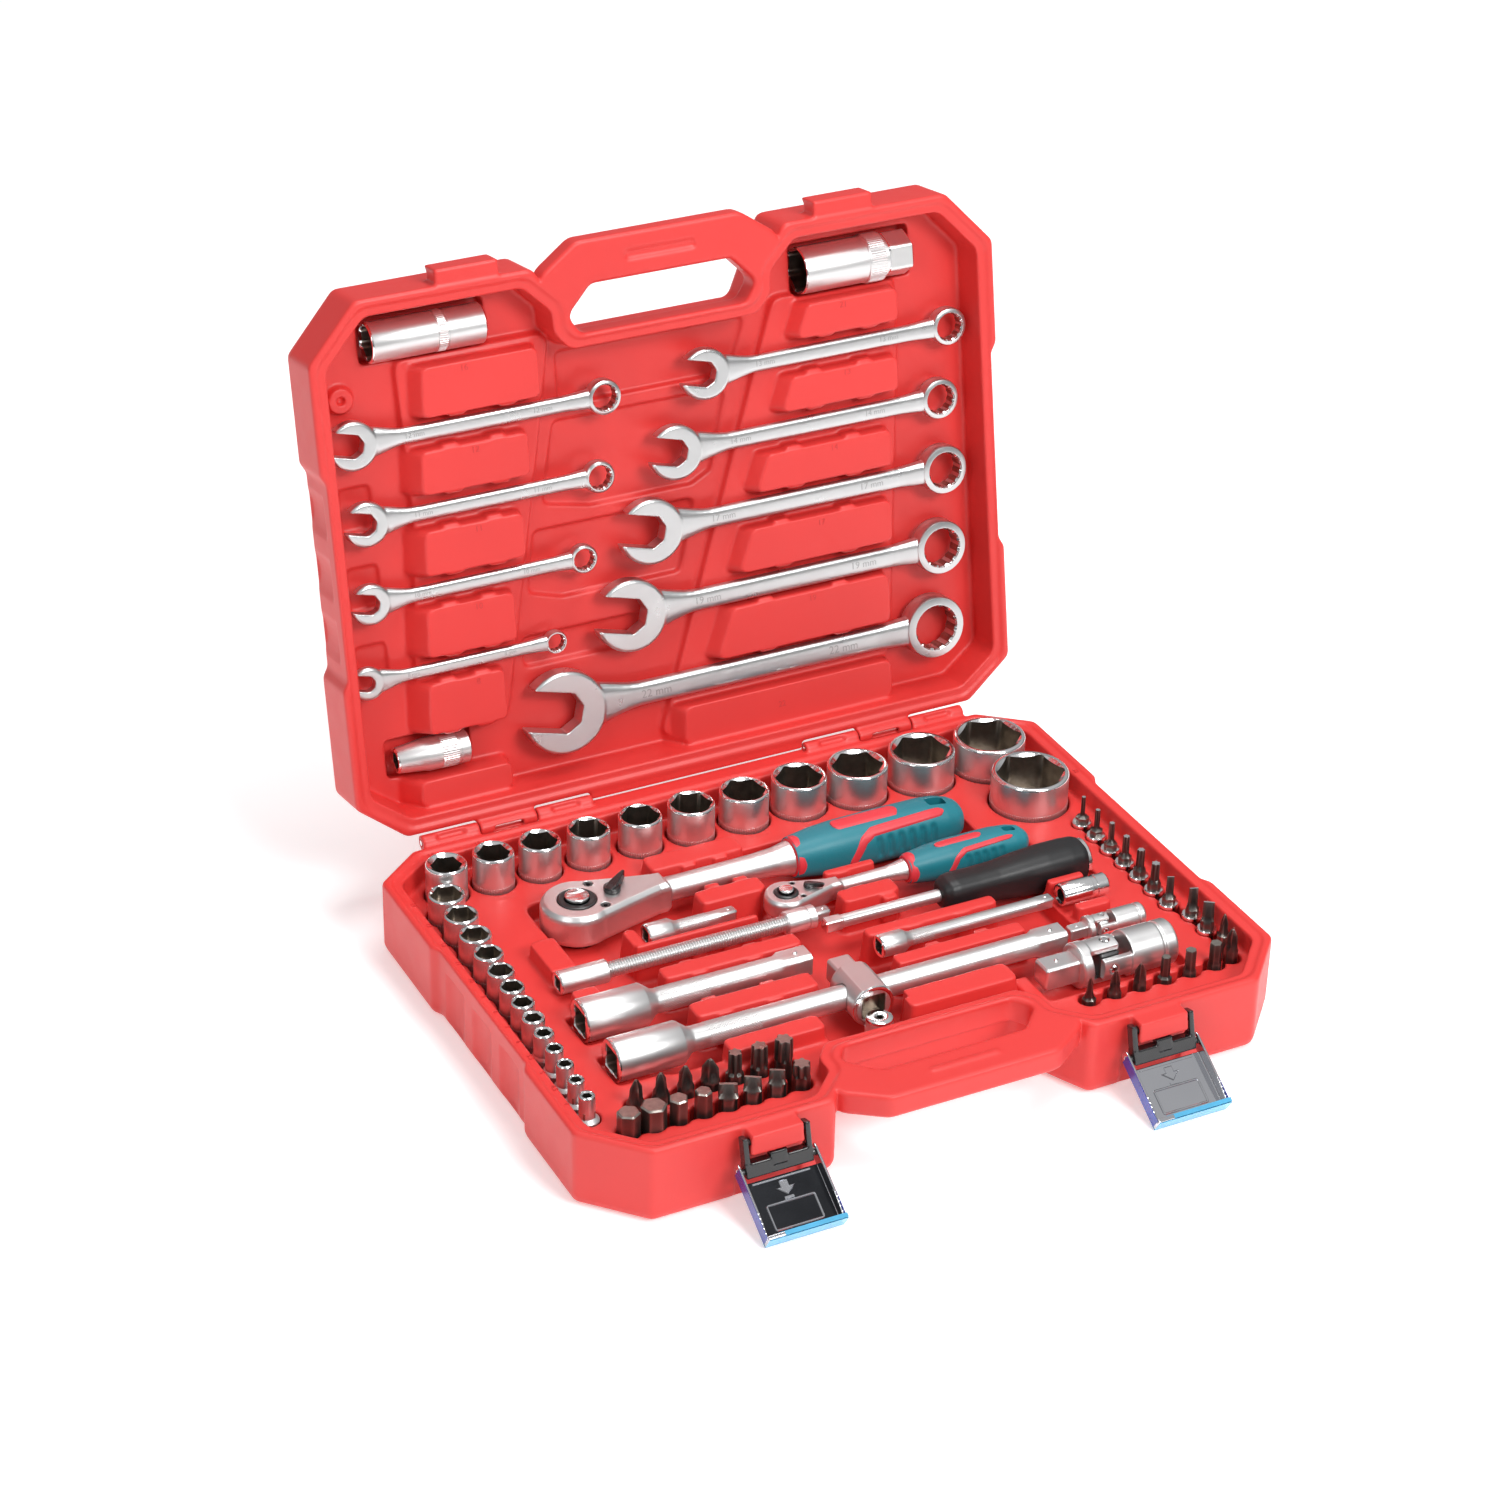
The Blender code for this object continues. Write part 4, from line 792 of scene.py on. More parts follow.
def key_bit(size, top):
    """A large bit with a hexagonal key, which is never narrower than its shank where the two meet."""
    return turned([(14, polygon(6, 7.0, 48)), (25, polygon(6, 8.0, 48, 0, 1.13)),
                   (27, polygon(6, max(size, 8.0), 48, 0, 1.13)),
                   (top - 0.7, polygon(6, size, 48, 0, 1.13), 1),
                   (top, polygon(6, size * 0.86, 48, 0, 1.1), 1)])


def make_bits():
    small = [("torx", 2.4), ("torx", 2.8), ("torx", 3.2), ("torx", 3.7), ("torx", 4.2), ("torx", 4.8),
             ("slot", 4.0), ("slot", 5.0), ("slot", 6.2), ("cross", 4.4), ("cross", 5.6), ("hex", 5.5),
             ("hex", 5.0), ("hex", 4.2), ("cross", 5.8), ("cross", 5.0), ("cross", 4.2)]
    collar = turned([(28.5, 3.4, 1), (28.6, 5.2, 1), (30.6, 5.2, 1), (31.2, 4.8, 1), (31.3, 3.4, 1)],
                    32, True)
    collared = 9  # the bits at the back of the side row stand in collars
    for i, ((x, y), (kind, size)) in enumerate(zip(BITS + BIT_ROW, small)):
        top = 46.3 if i < len(BITS) else 42.0
        turn = spin(56 + 5 * (i % 4)) if kind == "slot" else Matrix.Rotation(0.4 * i, 4, "Z")
        parts = [moved(bit_part(kind, 6.35, 21, top - 11, top, size), turn)]
        if i < collared:
            parts.append(collar)
        piece(f"bit_{kind}_{i}", [at(part, x, y) for part in parts], "bits_quarter",
              [BIT, BRIGHT if i < collared else BIT_TIP], None if i else "bit_set_quarter_inch")
    large = [("cross", 6.8), ("cross", 7.2), ("cross", 7.6), ("cross", 8.6), ("torx", 7.0), ("torx", 8.0),
             ("torx", 9.0), ("hex", 10.0), ("hex", 11.4), ("hex", 8.4), ("hex", 7.4), ("slot", 9.6),
             ("slot", 8.8), ("slot", 8.0), ("torx", 9.0)]
    for i, ((x, y), (kind, size)) in enumerate(zip(BIG_BACK + BIG_FRONT, large)):
        top, reach = (44.0, 12) if i < len(BIG_BACK) else (41.0, 7)
        part = key_bit(size, top) if kind == "hex" else bit_part(kind, 8.0, 14, top - reach, top, size)
        turn = spin(58 + 4 * (i % 3)) if kind == "slot" else Matrix.Rotation(0.3 * i, 4, "Z")
        piece(f"large_bit_{kind}_{i}", [at(moved(part, turn), x, y)], "bits_large", [BIT, BIT_TIP],
              None if i else "bit_set_large")


# --- tools in the lid ---

# Combination wrenches by size: the ring's x and y, and the length.
WRENCHES = {12: (-32.5, -66.0, 157.5), 11: (-38.5, -24.5, 147.0), 10: (-51.0, 17.5, 135.0),
            8: (-70.3, 59.0, 118.0), 13: (169.0, -67.5, 166.0), 14: (161.5, -29.0, 180.0),
            17: (162.0, 10.5, 203.0), 19: (157.5, 53.5, 217.0), 22: (151.5, 98.0, 258.0)}


def smooth_step(t):
    t = min(max(t, 0.0), 1.0)
    return t * t * (3 - 2 * t)


def make_wrench(size, ring_x, y, length):
    """A combination wrench, made about its ring with its jaw towards -X."""
    name = f"wrench_{size}"
    ring, jaw, half = 0.8 * size - 0.25, 1.02 * size + 0.9, 0.25 * size + 1.5
    jaw_x = ring - length + 0.86 * jaw
    jaw_half, ring_half, shaft_half = 0.18 * size + 1.1, 0.21 * size + 1.1, 0.11 * size + 1.0
    place = LID @ shift(ring_x, y - HINGE_Y, 13.5)
    tilt = shift(jaw_x) @ spin(15)

    start = math.acos(-0.86)
    sweep = [start * (i - 20) / 20 for i in range(41)]
    head = [(jaw * math.cos(angle), jaw * math.sin(angle) * 0.97) for angle in sweep]
    jaw_head = tiers(head, (1.3, -jaw_half), (0.3, 0.7 - jaw_half), (0, 1.2 - jaw_half),
                     (0, jaw_half - 1.2), (0.3, jaw_half - 0.7), (1.3, jaw_half))
    h, bottom, throat = size / 2, 0.42 * size, 0.12 * size
    upper = [(bottom, h * 0.42), (throat, h), (-jaw * 0.82, h), (-2 * jaw, h + 2.2)]
    mouth = rounded_corners([(x, -y) for x, y in reversed(upper)] + upper, 1.5)

    rings = []
    x0, x1 = jaw_x + 0.35 * jaw, -0.55 * ring
    for i in range(41):
        t = i / 40
        flare, swell = 1.0 - smooth_step(t * 5.2), smooth_step((t - 0.86) * 7)
        wide = half * (0.93 + 0.95 * flare + 0.22 * swell)
        thick = shaft_half + (jaw_half - shaft_half) * flare * 0.9 + (ring_half - shaft_half) * swell * 0.75
        radii = rounded(wide, thick, 3.4, 32)
        rings.append(np.stack([np.full(32, x0 + (x1 - x0) * t), radii * np.cos(angles(32)),
                               radii * np.sin(angles(32))], 1))
    disc = turned([(0.4 - ring_half, ring - 0.9), (1.2 - ring_half, ring - 0.25),
                   (ring_half - 1.2, ring - 0.25), (ring_half - 0.4, ring - 0.9)])
    forged(name + "_forging", [skin(rings), moved(jaw_head, tilt), disc], (0.45, 3, 0.4), name, WRENCH,
           name, place,
           [moved(prism(mouth, -2 * jaw_half, 2 * jaw_half), tilt),
            pill(-2 * ring_half, 2 * ring_half, size * 0.56)])
    points = twelve_point(size * 1.02, 96)
    edge, face = size * 0.56 + 0.5, ring_half + 0.02
    eye = turned([(-face, edge + 0.6), (0.5 - ring_half, ring - 0.5), (1.4 - ring_half, ring),
                  (ring_half - 1.4, ring), (ring_half - 0.5, ring - 0.5), (face, edge + 0.6), (face, edge, 1),
                  (ring_half - 0.9, points, 2), (0.9 - ring_half, points, 1), (-face, edge)], 96, True)
    chromed(name + "_ring", [eye], name, matrix=place, materials=[WRENCH, BRIGHT, INSIDE])
    marks = [(f"{size} mm", 0.24 * size + 1.0, shift(x0 + share * (x1 - x0), 0, 0.02 - shaft_half) @ FLIP)
             for share in (0.22, 0.77)]
    lettering(marks, 0.16, STAMP, name + "_mark", name, place)


def lid_socket(name, stations, ring, spot):
    """A tool that lies along X in the lid, from its stations and its knurled ring."""
    x, y, z = spot
    chromed(name + "_turned", [along_x(turned(stations, 96, True)), along_x(knurled(*ring))], name, name,
            LID @ shift(x, y - HINGE_Y, z))


def make_lid_sockets():
    n = 96
    hexagon, square = polygon(6, 16.4, n, 0.2, 1.13), polygon(4, 12.8, n, 0, 1.32)
    lid_socket("spark_plug_socket_16", [
        (0, 9.4, 1), (0.2, 10.1, 1), (0.9, 10.5), (34.8, 10.5), (35.0, 10.2), (35.4, 10.2), (35.6, 10.5),
        (40.4, 10.5), (40.6, 10.2), (41.0, 10.2), (41.2, 10.5), (60.9, 10.5, 1), (61.8, 9.9, 1),
        (62, 9.3, 1), (61.9, square * 1.03, 2), (61, square, 2), (29, square, 2), (28.9, hexagon, 2),
        (1.3, hexagon, 1), (0.1, 9.35, 1)], (35.8, 40.2, 10.52, 54, 0.16), (-155, -114.7, 19))
    hexagon, nut = polygon(6, 21.0, n, 0.2, 1.12), polygon(6, 21.4, n, 0.0, 1.13)
    lid_socket("spark_plug_socket_21", [
        (0, 11.9, 1), (0.2, 12.2, 1), (0.8, 12.4), (37, 12.4), (37.6, 12.9), (48, 12.9), (48.6, 11.6),
        (49.6, 11.6), (49.8, nut * 0.98, 1), (50.6, nut), (63.2, nut, 1), (64, nut * 0.94, 1),
        (63.9, square * 1.03, 2), (63, square, 2), (35, square, 2), (34.9, hexagon, 2), (1.0, hexagon, 1),
        (0.1, 11.85, 1)], (38.2, 47.4, 12.92, 64, 0.18), (85.5, -110, 20.5))
    hexagon, blunt_square = polygon(6, 8.2, n, 0.2, 1.13), np.minimum(square, 8.1)
    lid_socket("bit_coupler", [
        (0, 5.8, 1), (0.3, 6.4, 1), (1.0, 6.8), (15.5, 8.5), (17.5, 9.0), (33.4, 9.0), (33.6, 8.7),
        (34.4, 8.7), (34.6, 9.0), (39.3, 9.0, 1), (40, 8.3, 1), (39.9, square[0] * 1.3, 2),
        (39.2, blunt_square, 2), (17.2, blunt_square, 2), (17.1, hexagon, 2), (1.0, hexagon, 1),
        (0.1, 5.7, 1)], (24, 33, 9.02, 48, 0.14), (-162.7, 106, 18.5))


# --- ratchets ---

SPREAD = 12.0  # a strip's path is measured on a grip of this radius


class Grip:
    """A moulded grip about X: its section varies from a round neck to a flattened body."""

    def __init__(self, stations, power=2.5):
        self.stations, self.power = stations, power

    def radius(self, u, phi):
        us, widths, heights = zip(*self.stations)
        wide, high = float(np.interp(u, us, widths)), float(np.interp(u, us, heights))
        p = self.power
        return (abs(math.sin(phi) / wide) ** p + abs(math.cos(phi) / high) ** p) ** (-1 / p)

    def point(self, u, phi, lift=0.0):
        """A place on the surface or above it: phi is 0 at the top and grows towards the front."""
        r = self.radius(u, phi) + lift
        return u, -r * math.sin(phi), r * math.cos(phi)

    def shell(self, grooves, n=96, step=0.7):
        length = self.stations[-1][0]
        rows = []
        for i in range(int(length / step) + 1):
            u = min(i * step, length)
            turns = [-math.tau * j / n for j in range(n)]
            rows.append(np.array([self.point(u, phi, -groove_depth(grooves, u, phi)) for phi in turns]))
        return skin(rows)

    def patch(self, path, half_width, height, steps=40, across=8):
        """A raised strip on the surface, along a path of (u, phi in degrees)."""
        flat = [(u, math.radians(phi) * SPREAD) for u, phi in path]
        lengths = [0.0]
        for a, b in zip(flat, flat[1:]):
            lengths.append(lengths[-1] + math.dist(a, b))
        whole = lengths[-1]

        def along(s):
            return np.array([np.interp(s, lengths, values) for values in zip(*flat)])

        rows = []
        for i in range(steps + 1):
            s = whole * i / steps
            u, v = along(s)
            du, dv = along(min(s + 2.5, whole)) - along(max(s - 2.5, 0.0))
            end = min(s, whole - s)
            width = half_width * math.sqrt(max(0.05, min(1.0, (end + 0.3) / 2.5))) / math.hypot(du, dv)
            shares = [2 * j / across - 1 for j in range(across + 1)]
            row = [(t, height * (1 - abs(t) ** 6) - 0.15) for t in shares] + [(t, -0.6) for t in shares[::-1]]
            rows.append(np.array([self.point(u - dv * width * t, (v + du * width * t) / SPREAD, rise)
                                  for t, rise in row]))
        return skin(rows)


def groove_depth(grooves, u, phi):
    """How deep the finger grooves are cut at a place, each (u, first phi, last phi, depth)."""
    degrees = math.degrees((phi + math.pi) % math.tau - math.pi)
    deep = 0.0
    for centre, low, high, depth in grooves:
        away = (u - centre - (degrees - low) * 0.02) / 2.1
        if abs(away) < 1 and low < degrees < high:
            edge = min((degrees - low) / 12, (high - degrees) / 12, 1.0)
            deep = max(deep, depth * (1 - away ** 2) * edge)
    return deep


def ratchet_head(radius, neck_x, neck_half, head, axis, shaft):
    """A pear-shaped head with its top at z = 0, and the shaft behind it."""
    reach = math.radians(118)
    sweep = [math.pi + reach * (i - 20) / 20 for i in range(41)]
    side = [(neck_x + 6, neck_half * 0.95), (neck_x, neck_half), (neck_x * 0.62, radius * 0.62)]
    outline = [(radius * math.cos(angle), radius * math.sin(angle)) for angle in sweep]
    outline += [(x, -y) for x, y in reversed(side)] + side
    k = radius / 19
    return [tiers(outline, (3.6 * k, -head), (1.2 * k, 1.6 * k - head), (0, 4.5 * k - head), (0, -4.2 * k),
                  (0.5 * k, -2.2 * k), (2.2 * k, 0)), along_x(turned(shaft), 0, 0, axis)]


def make_ratchet(name, where, d):
    place = shift(*where)
    k = d["radius"] / 19
    gear, button, head, neck_x = d["gear"], d["button"], d["head"], d["neck"][0]
    screws = [(11 * k, 10.6 * k), (11 * k, -10.6 * k)]
    cuts = [box(neck_x * 0.7, neck_x + 34 * k, -30, 30, 0, 20), pill(-3.2 * k, 3, gear + 0.3, n=64),
            *(pill(-2.6 * k, 2, 2.5 * k, screw, 32) for screw in screws),
            pill(-head - 1, 1.5 - head, gear - 0.8, n=64)]
    forged(name + "_forging", ratchet_head(d["radius"], *d["neck"], head, d["axis"], d["shaft"]),
           (0.4, 3, 0.4), name, SATIN, name + "_body", place, cuts)
    key = polygon(6, 2.2 * k, 36, 0.3)
    screw = turned([(-2.4 * k, 2.2 * k), (-0.9 * k, 2.2 * k), (-0.5 * k, 1.9 * k), (-0.5 * k, key * 1.05),
                    (-1.9 * k, key)], 36)
    for i, (x, y) in enumerate(screws):
        piece(f"{name}_screw_{i}", [at(screw, x, y)], name, BLACK_STEEL, matrix=place)
    insert = turned([(-3.0 * k, gear), (0.25, gear), (0.6, gear - 0.5), (0.7, gear - 1.1),
                     (0.5, button + 1.0), (0.5, button + 0.35), (-2.6 * k, button + 0.3)], 96)
    square, base = polygon(4, d["square"], 48, 0, 1.3), -head - 0.2
    tip = base - d["drive"]
    ball = turned([(0.9, 1.6 * k, 1), (0.5, 1.2 * k, 1), (0, 0.3, 1)], 24)
    spindle = [turned([(tip, square * 0.86), (tip + 1.0, square), (base + 0.2, square)]),
               turned([(base, gear - 1.0), (base + 1.3, gear - 1.0)], 64),
               along_y(ball, 0, -d["square"] / 2 - 0.7, base - d["drive"] * 0.55)]
    drive = name + "_drive"
    piece(name + "_insert", [insert], drive, BLACK_STEEL, drive, place)
    piece(name + "_spindle", spindle, drive, [SATIN, BRIGHT], matrix=place)
    knob = turned([(1.3 - 2.5 * k, button - 0.5), (0.8, button - 0.4), (1.5, button - 0.15),
                   (2.2, button - 0.2), (2.6, button - 0.6), (2.7, button - 1.0)], 64)
    piece(name + "_release", [knob], name + "_button", BRIGHT, name + "_button", place)
    make_lever(name, d, place, k)
    make_grip(name, d, place)


def make_lever(name, d, place, k):
    """The reversing lever: a disc, and a thumb blade that rises towards its tip."""
    reach, half = d["lever"], d["lever"] * 0.17
    disc = turned([(0.1, reach * 0.36), (1.6 * k + 0.6, reach * 0.36), (2.0 * k + 0.6, reach * 0.33)], 40)
    rings = []
    for x, wide, z0, z1 in ((-half * 2, 1.2, 0.8, 2.4 * k + 0.6), (0, 1.6, 0.8, 3.2 * k + 0.6),
                            (reach * 0.5, 1.1, 0.8, 4.0 * k + 0.7), (reach * 0.9, 0.5, 1.0, 5.0 * k + 0.4),
                            (reach, 0.3, 2.2, 5.0 * k + 0.2)):
        w = half * wide
        rings.append(np.array([(x, -w, z0), (x, w, z0), (x, w * 0.75, z1), (x, -w * 0.75, z1)], float))
    forged(name + "_thumb_lever", [skin(rings), disc], (0.25, 2, 0.5), name + "_lever", BLACK,
           name + "_lever", place @ shift(d["lever_x"]) @ spin(d["lever_deg"]))


def make_grip(name, d, place):
    grip = Grip(d["sections"])
    spot = place @ shift(d["grip_x"], 0, d["axis"])
    shell = wrap(name + "_grip_teal", mesh_of([grip.shell(d["grooves"])]))
    cut(shell, prism(rounded_corners(rectangle(*d["hole"]), 2), -20, 20))
    move_mesh(shell.data, spot)
    settle(shell, name, TEAL, name + "_grip", sharp=40)
    r = d["sections"][0][1]
    collar = turned([(-0.6, r * 0.72), (-0.5, r * 0.95), (0.6, r + 0.7), (3.2, r + 1.0), (4.6, r + 0.7),
                     (5.0, r * 0.9)], 64)
    parts = [along_x(collar), *(grip.patch(*strip) for strip in d["strips"])]
    piece(name + "_grip_red", parts, name, GRIP_RED, matrix=spot, sharp=40)


# Sizes of each ratchet. The shaft is (x, radius), the grip's sections are (u, half width, half height).
RATCHET = dict(
    radius=19.0, neck=(44.0, 7.5), head=19.0, axis=-8.0, gear=9.9, square=HALF_INCH, drive=15.0, button=6.4,
    shaft=[(18, 5.0), (34, 6.6), (60, 6.4), (100, 6.9), (112, 7.6), (118, 8.9), (120.6, 9.3), (121, 7.0)],
    lever_x=19.5, lever=12.5, lever_deg=37.0, grip_x=121.1, hole=(80, 91, -3.4, 3.4),
    sections=[(0, 10.2, 10.2), (5, 11.0, 11.0), (14, 12.2, 12.2), (26, 12.9, 13.0), (50, 13.2, 13.3),
              (78, 13.2, 13.2), (88, 12.8, 12.0), (95, 11.2, 10.0), (98.6, 9.0, 8.0), (100, 6.0, 5.6)],
    grooves=[(46 + 6.4 * i, 56, 118, 1.3) for i in range(6)],
    strips=[([(30, 118), (37, 60), (43, 44), (86, 36)], 2.5, 0.75), ([(24, -2), (62, -2)], 4.6, 0.8)])
SMALL_RATCHET = dict(
    radius=11.5, neck=(25.0, 4.2), head=11.0, axis=-4.8, gear=6.1, square=QUARTER_INCH, drive=7.5, button=3.9,
    shaft=[(11, 3.0), (20, 3.8), (40, 3.8), (58, 4.2), (64, 5.0), (68.4, 5.8), (68.8, 4.2)],
    lever_x=13.0, lever=8.0, lever_deg=-40.0, grip_x=69.1, hole=(57, 64.5, -2.2, 2.2),
    sections=[(0, 7.2, 7.2), (4, 7.9, 7.9), (12, 9.0, 9.0), (24, 9.7, 9.8), (52, 9.8, 9.8),
              (62, 9.3, 8.6), (68, 8.0, 7.0), (71, 5.0, 4.6)],
    grooves=[(32 + 5.0 * i, 56, 118, 1.0) for i in range(5)],
    strips=[([(21, 118), (26, 62), (31, 44), (60, 36)], 1.8, 0.6), ([(17, -2), (44, -2)], 3.3, 0.65)])


# --- bars and joints ---

def female_end(radius, drive, depth, n=96):
    """The stations of a socket end that opens at z = 0, from its floor to its outer edge."""
    square = polygon(4, drive + 0.15, n, 0, 1.32)
    return [(depth, square, 2), (0.9, square, 1), (0.15, np.maximum(square * 1.04, drive / 2 * 1.1), 1),
            (0.0, radius - 0.7, 1), (0.25, radius - 0.25, 1), (0.9, radius)]


def male_end(start, drive, length, n=96):
    square = polygon(4, drive - 0.1, n, 0, 1.22)
    return [(start, square), (start + length - 1.0, square, 1), (start + length, square * 0.84, 1)]


def detent(drive, x):
    """The sprung ball on top of a drive square."""
    ball = turned([(0.0, drive * 0.17), (0.05, drive * 0.14), (0.02, drive * 0.1, 1),
                   (drive * 0.045, drive * 0.07, 1), (drive * 0.065, drive * 0.02, 1)], 28)
    return at(ball, x, 0, drive / 2 - 0.06)


def make_extension(name, where, length, drive, end, end_length, shaft, male, knurl):
    neck = end_length + end - shaft
    stations = female_end(end, drive, min(end_length * 0.45, 15)) + [
        (end_length - 0.8, end), (end_length, end - 0.5), (neck, shaft + 0.4), (neck + 2, shaft),
        (length - male - 2.5, shaft)] + male_end(length - male, drive, male)
    ring = cross_knurled(*knurl, shaft + 0.05, int(math.tau * shaft / 1.35))
    parts = [along_x(turned(stations, 96)), detent(drive, length - male * 0.5), along_x(ring)]
    chromed(name + "_turned", parts, name, name, shift(*where))


def make_flexible():
    """A socket end and a drive end with a coiled cable between them."""
    n, drive, turns, steps = 48, QUARTER_INCH, 68, 8
    start, pitch = 27.2, 97.5 / turns
    head = female_end(6, drive, 11, n) + [(26, 6), (26.6, 5.6), (start, 5.0), (27.4, 3.4)]
    coil = [(start + pitch * i / steps, 4.15 - 0.5 * (0.5 - 0.5 * math.cos(math.tau * i / steps)))
            for i in range(turns * steps + 1)]
    tail = [(124.4, 3.4), (124.6, 5.0), (125.2, 5.7), (126, 6.0), (136, 6.0), (136.3, 5.6),
            (137.2, 5.6), (137.5, 6.0), (141.4, 6.0, 1), (142, 5.4)] + male_end(142.1, drive, 7.9, n)
    parts = [*(along_x(turned(stations, sides)) for stations, sides in ((head, n), (coil, 32), (tail, n))),
             detent(drive, 146.5)]
    chromed("flexible_extension_coil", parts, "flexible_extension", "flexible_extension", shift(*FLEXIBLE))


def make_spinner():
    n = 64
    place = shift(-2, -0.5, 35)
    square = polygon(4, 6.25, n, 0, 1.3)
    bar = turned([(0, square * 0.84, 1), (0.9, square), (9, square), (10, 3.4), (67, 3.4)], n)
    cap = turned([(149.2, 10.6, 1), (151, 10.6, 1), (151.8, 9.9, 1), (152, 8.6, 1)], n)
    chromed("spinner_rod", [along_x(bar), along_x(cap)], "spinner", matrix=place, materials=[SATIN, BRIGHT])
    grip = Grip([(0, 4.6, 4.6), (0.8, 6.8, 6.8), (4, 8.8, 8.8), (8, 9.4, 9.4), (20, 9.2, 9.2), (32, 9.4, 9.4),
                 (46, 10.6, 10.7), (60, 11.4, 11.6), (74, 11.4, 11.6), (81, 10.9, 11.1), (83.6, 10.0, 10.2),
                 (84.2, 8.0, 8.0)], 2.9)
    piece("spinner_grip_moulding", [grip.shell([])], "spinner", SPINNER, "spinner_handle",
          place @ shift(66), 40)


def make_t_head():
    """The sliding T head with its face, the drive adapter and the bit holder."""
    n = 64
    place = shift(-13, -60, 35)
    square, deep, near = (polygon(4, across, n, 0, blunt) for across, blunt in
                          ((12.6, 1.3), (12.8, 1.34), (12.2, 1.34)))
    drum = along_y(turned([(-13.5, 10.0), (-13.2, 10.9), (-12.2, 11.5), (10.6, 11.5), (11.6, 11.0),
                           (12.2, 9.6)], n))
    post = along_y(turned([(8, square), (24, square), (25, square * 0.86)], n))
    recess = along_y(turned([(-15, deep), (-6.9, deep)], n))
    forged("t_head_forging", [drum, post], (0.35, 2, 0.4), "sliding_t_head", SATIN,
           "sliding_t_head", place, (recess, rod(-20, 20, 6.7, n=n), box(-12, 12, -14, 14, 9.8, 14)))
    liner = along_y(turned([(-13.2, deep, 1), (-6.8, deep, 1), (-6.8, 0.5, 1), (-7.3, 0.5, 1),
                            (-7.3, near, 1), (-13.2, near, 1)], n, True))
    ring = along_y(turned([(-13.55, 11.0), (-13.6, 10.4), (-13.5, 9.2, 1), (-12.6, 9.1, 1), (-12.5, 11.2)],
                          n, True))
    chromed("t_head_face", [ring, liner], "sliding_t_head", matrix=place, materials=[BRIGHT, INSIDE])
    cap = turned([(0, 5.9), (0.8, 6.6), (2, 6.9), (14.8, 6.9, 1), (15.9, 6.5, 1), (16.4, 5.6, 1),
                  (16.5, 2.2, 1), (16.1, 1.5, 2), (10, 1.5, 2)])
    chromed("drive_adapter_turned", [cap, knurled(3, 11, 6.92, 36, 0.14)], "drive_adapter", "drive_adapter",
            shift(-15, -83, 19.5))
    hexagon, square = polygon(6, 6.45, n, 0.2, 1.13), polygon(4, 6.45, n, 0, 1.3)
    holder = turned([(0, 5.3, 1), (0.2, 5.7, 1), (0.8, 6.0), (17.6, 6.0), (18, 5.6), (20, 5.6),
                     (20.4, 6.0), (26.2, 6.0, 1), (27, 5.4, 1), (26.9, square * 1.03, 2), (26, square, 2),
                     (11, square * 0.96, 2), (10.9, hexagon, 2), (0.9, hexagon, 1), (0.05, 4.6, 1)], n, True)
    chromed("bit_holder_turned", [along_x(holder)], "bit_holder", "bit_holder", shift(119, -28, 36),
            [BRIGHT, BRIGHT, INSIDE])


def fork(r, reach, direction, upright):
    """The ears of a universal joint: the drum they are cut from, and its cutters."""
    low, half = 0.61 * r, 0.46 * r
    turn = Matrix.Identity(4) if upright else spin(90, "X")
    drum = moved(turned([(-half, r - 0.3), (reach + 2, r - 0.3)], 64), TO_X if direction > 0 else TO_MINUS_X)
    lo, hi = (-half - 1, reach) if direction > 0 else (-reach, half + 1)
    cuts = [box(lo, hi, -r - 1, r + 1, -low, low), box(lo, hi, half, r + 1, -r - 1, r + 1),
            box(lo, hi, -r - 1, -half, -r - 1, r + 1), pill(-r - 1, r + 1, 0.19 * r + 0.3, n=32)]
    return drum, [moved(shape, turn) for shape in cuts]


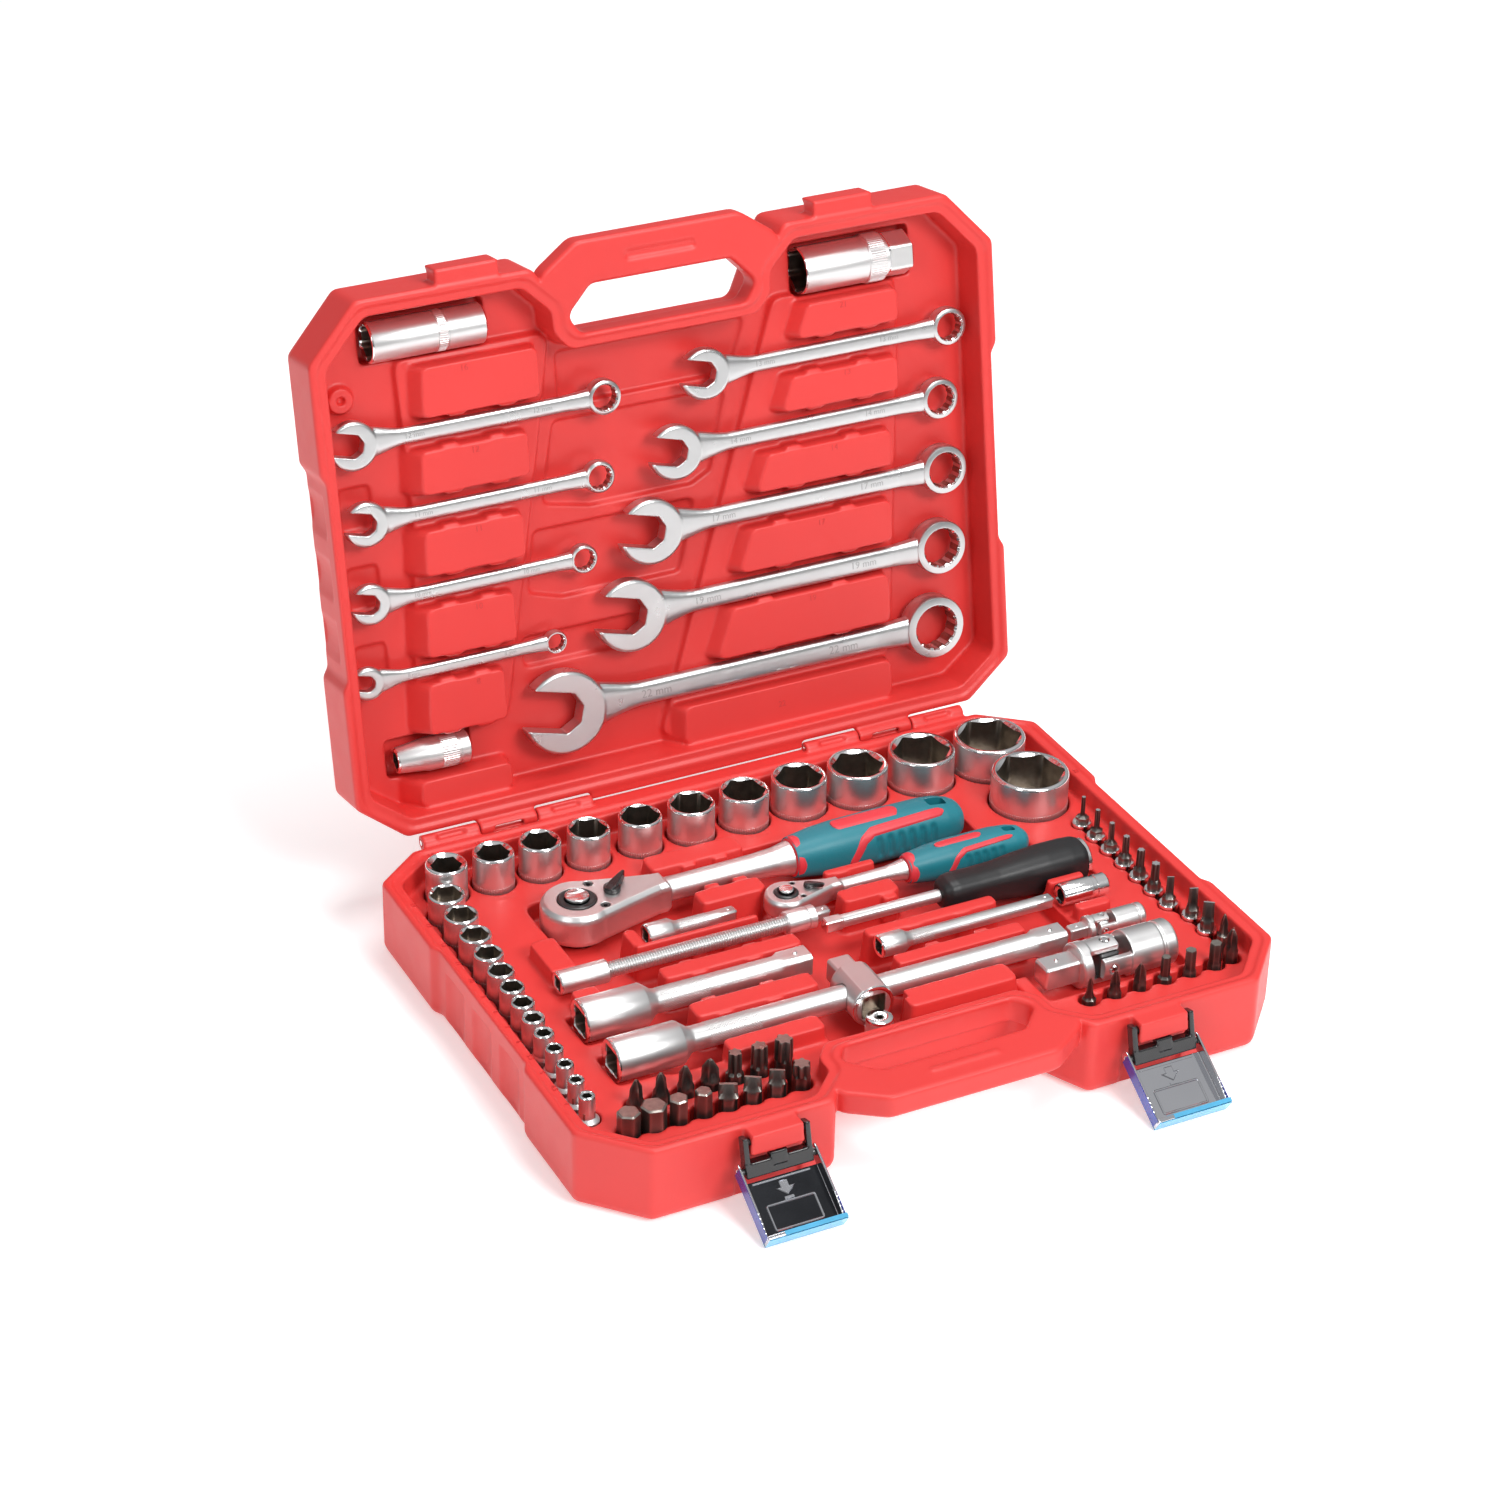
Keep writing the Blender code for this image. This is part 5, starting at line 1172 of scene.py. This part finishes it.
def make_joint(name, where, r, drive, tail, head):
    """A universal joint: a fork with a drive square, a fork with a socket, and the block between them."""
    place, n = shift(*where), 64
    reach, k = 0.95 * r, r / 12
    mould = (0.35 if r > 10 else 0.22, 2, 0.4)
    drum, cuts = fork(r, reach, -1, True)
    square, hollow = polygon(4, drive - 0.1, n, 0, 1.3), polygon(4, drive + 0.15, n, 0, 1.32)
    disc = moved(turned([(reach - 0.5, r), (reach + 0.4 * r, r), (reach + 0.48 * r, r - 0.9)], n), TO_MINUS_X)
    post = along_x(turned([(-tail, square * 0.86), (-tail + 1, square), (-reach - 1, square)], n))
    forged(name + "_drive_fork", [disc, drum, post], mould, name, SATIN, name + "_drive",
           place, cuts)
    chromed(name + "_detent", [detent(drive, -tail + 0.36 * (tail - reach))], name, matrix=place,
            materials=[SATIN, BRIGHT])
    drum, cuts = fork(r, reach, 1, False)
    sleeve = along_x(turned([(reach - 0.5, r), (head - 9 * k, r), (head - 8.6 * k, r - 0.5),
                             (head - 7.4 * k, r - 0.5), (head - 7 * k, r), (head - 1, r),
                             (head, r - 0.9)], n))
    recess = along_x(turned([(head - 13 * k, hollow), (head + 1, hollow)], n))
    forged(name + "_socket_fork", [sleeve, drum], mould, name + "_socket", SATIN,
           name + "_socket", place, [*cuts, recess])
    core, side, pin, end = 0.61 * r - 0.3, 0.46 * r, 0.19 * r, r - 0.5
    cube = tiers(rounded_corners(rectangle(-side, side, -core, core), 1.5), (0.8, -core), (0, 0.8 - core),
                 (0, core - 0.8), (0.8, core))
    flower = star(pin * 0.98, 36, 0.16)
    rivet = turned([(-end, flower * 0.8, 1), (0.35 - end, flower, 1), (0.8 - end, pin), (end - 0.8, pin),
                    (end - 0.35, flower, 1), (end, flower * 0.8, 1)], 36)
    piece(name + "_cross_block", [cube, rivet, moved(rivet, TO_Y)], name + "_cross",
          [BLACK_STEEL if r > 10 else SATIN, BRIGHT], name + "_cross", place)


# --- stage ---

def make_light(name, location, target, energy, width, height):
    data = bpy.data.lights.new(name, "AREA")
    data.energy = energy
    data.shape, data.size, data.size_y = "RECTANGLE", width, height
    light = wrap(name, data)
    light.location = location
    light.rotation_euler = (Vector(target) - Vector(location)).to_track_quat("-Z", "Y").to_euler()


def make_stage():
    floor = wrap("floor", mesh_of([box(-9000, 9000, -9000, 9000, -3, -0.05)]))
    white = finish("floor_white", (0.90, 0.90, 0.90), rough=0.75, tint=0.004)
    glow = white.node_tree.nodes["Principled BSDF"].inputs
    glow["Emission Color"].default_value = (1, 1, 1, 1)
    glow["Emission Strength"].default_value = 0.35
    floor.data.materials.append(white)
    world = bpy.data.worlds.new("studio")
    bpy.context.scene.world = world
    world.use_nodes = True
    nodes, links = world.node_tree.nodes, world.node_tree.links
    where, split = nodes.new("ShaderNodeTexCoord"), nodes.new("ShaderNodeSeparateXYZ")
    ramp = nodes.new("ShaderNodeValToRGB")
    links.new(where.outputs["Generated"], split.inputs["Vector"])
    links.new(split.outputs["Z"], ramp.inputs["Fac"])
    low, high = ramp.color_ramp.elements
    low.color, high.color, high.position = (0.15, 0.15, 0.155, 1), (0.72, 0.72, 0.73, 1), 0.75
    links.new(ramp.outputs["Color"], nodes["Background"].inputs["Color"])
    nodes["Background"].inputs["Strength"].default_value = 0.7
    middle = (0, 0.05, 0.1)
    make_light("key", (0.5, -1.7, 1.6), middle, 34, 0.9, 0.7)
    make_light("top", (0.3, 0.1, 1.9), middle, 17, 1.3, 0.6)
    make_light("side", (-1.6, -0.9, 1.2), middle, 7, 0.5, 1.1)


def make_camera():
    data = bpy.data.cameras.new("camera")
    data.lens, data.sensor_width = 90.8, 36.0
    data.clip_start, data.clip_end = 0.05, 50
    camera = wrap("camera", data)
    right = Vector((0.8922, -0.4511, 0.0201))
    up = Vector((0.2168, 0.4668, 0.8574))
    back = -Vector((0.3962, 0.7606, -0.5143))
    turn = Matrix((right, up, back)).transposed()
    camera.matrix_world = shift(-0.7695, -1.3889, 1.0880) @ turn.to_4x4()
    bpy.context.scene.camera = camera
    bpy.context.scene.view_settings.view_transform = "Standard"


# --- build ---

make_camera()
make_stage()
make_base()
make_lid()
for node in ("hinge_pin_left", "hinge_pin_right"):
    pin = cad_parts[node]
    pin.data.materials.clear()
    pin.data.materials.append(BRIGHT)
make_latches()
make_sockets()
make_bits()
for wrench_size, spot in WRENCHES.items():
    make_wrench(wrench_size, *spot)
make_lid_sockets()
make_ratchet("ratchet", (-108, 66, 41), RATCHET)
make_ratchet("small_ratchet", (-8, 29.5, 39), SMALL_RATCHET)
make_spinner()
make_extension("extension_250", EXTENSION_250, 250, HALF_INCH, 11.0, 36, 6.3, 16, (50, 78))
make_extension("extension_125", EXTENSION_125, 125, HALF_INCH, 11.0, 34, 6.3, 16, (42, 68))
make_extension("extension_100", EXTENSION_100, 100, QUARTER_INCH, 6.0, 14, 3.7, 8, (18, 30))
make_extension("extension_50", EXTENSION_50, 50, QUARTER_INCH, 6.0, 14, 3.7, 8, (17, 34))
make_flexible()
make_t_head()
make_joint("universal_joint", (110, -85, 35), 11.8, HALF_INCH, 36, 38)
make_joint("small_universal_joint", (124, -60, 36), 6.4, QUARTER_INCH, 19, 24)
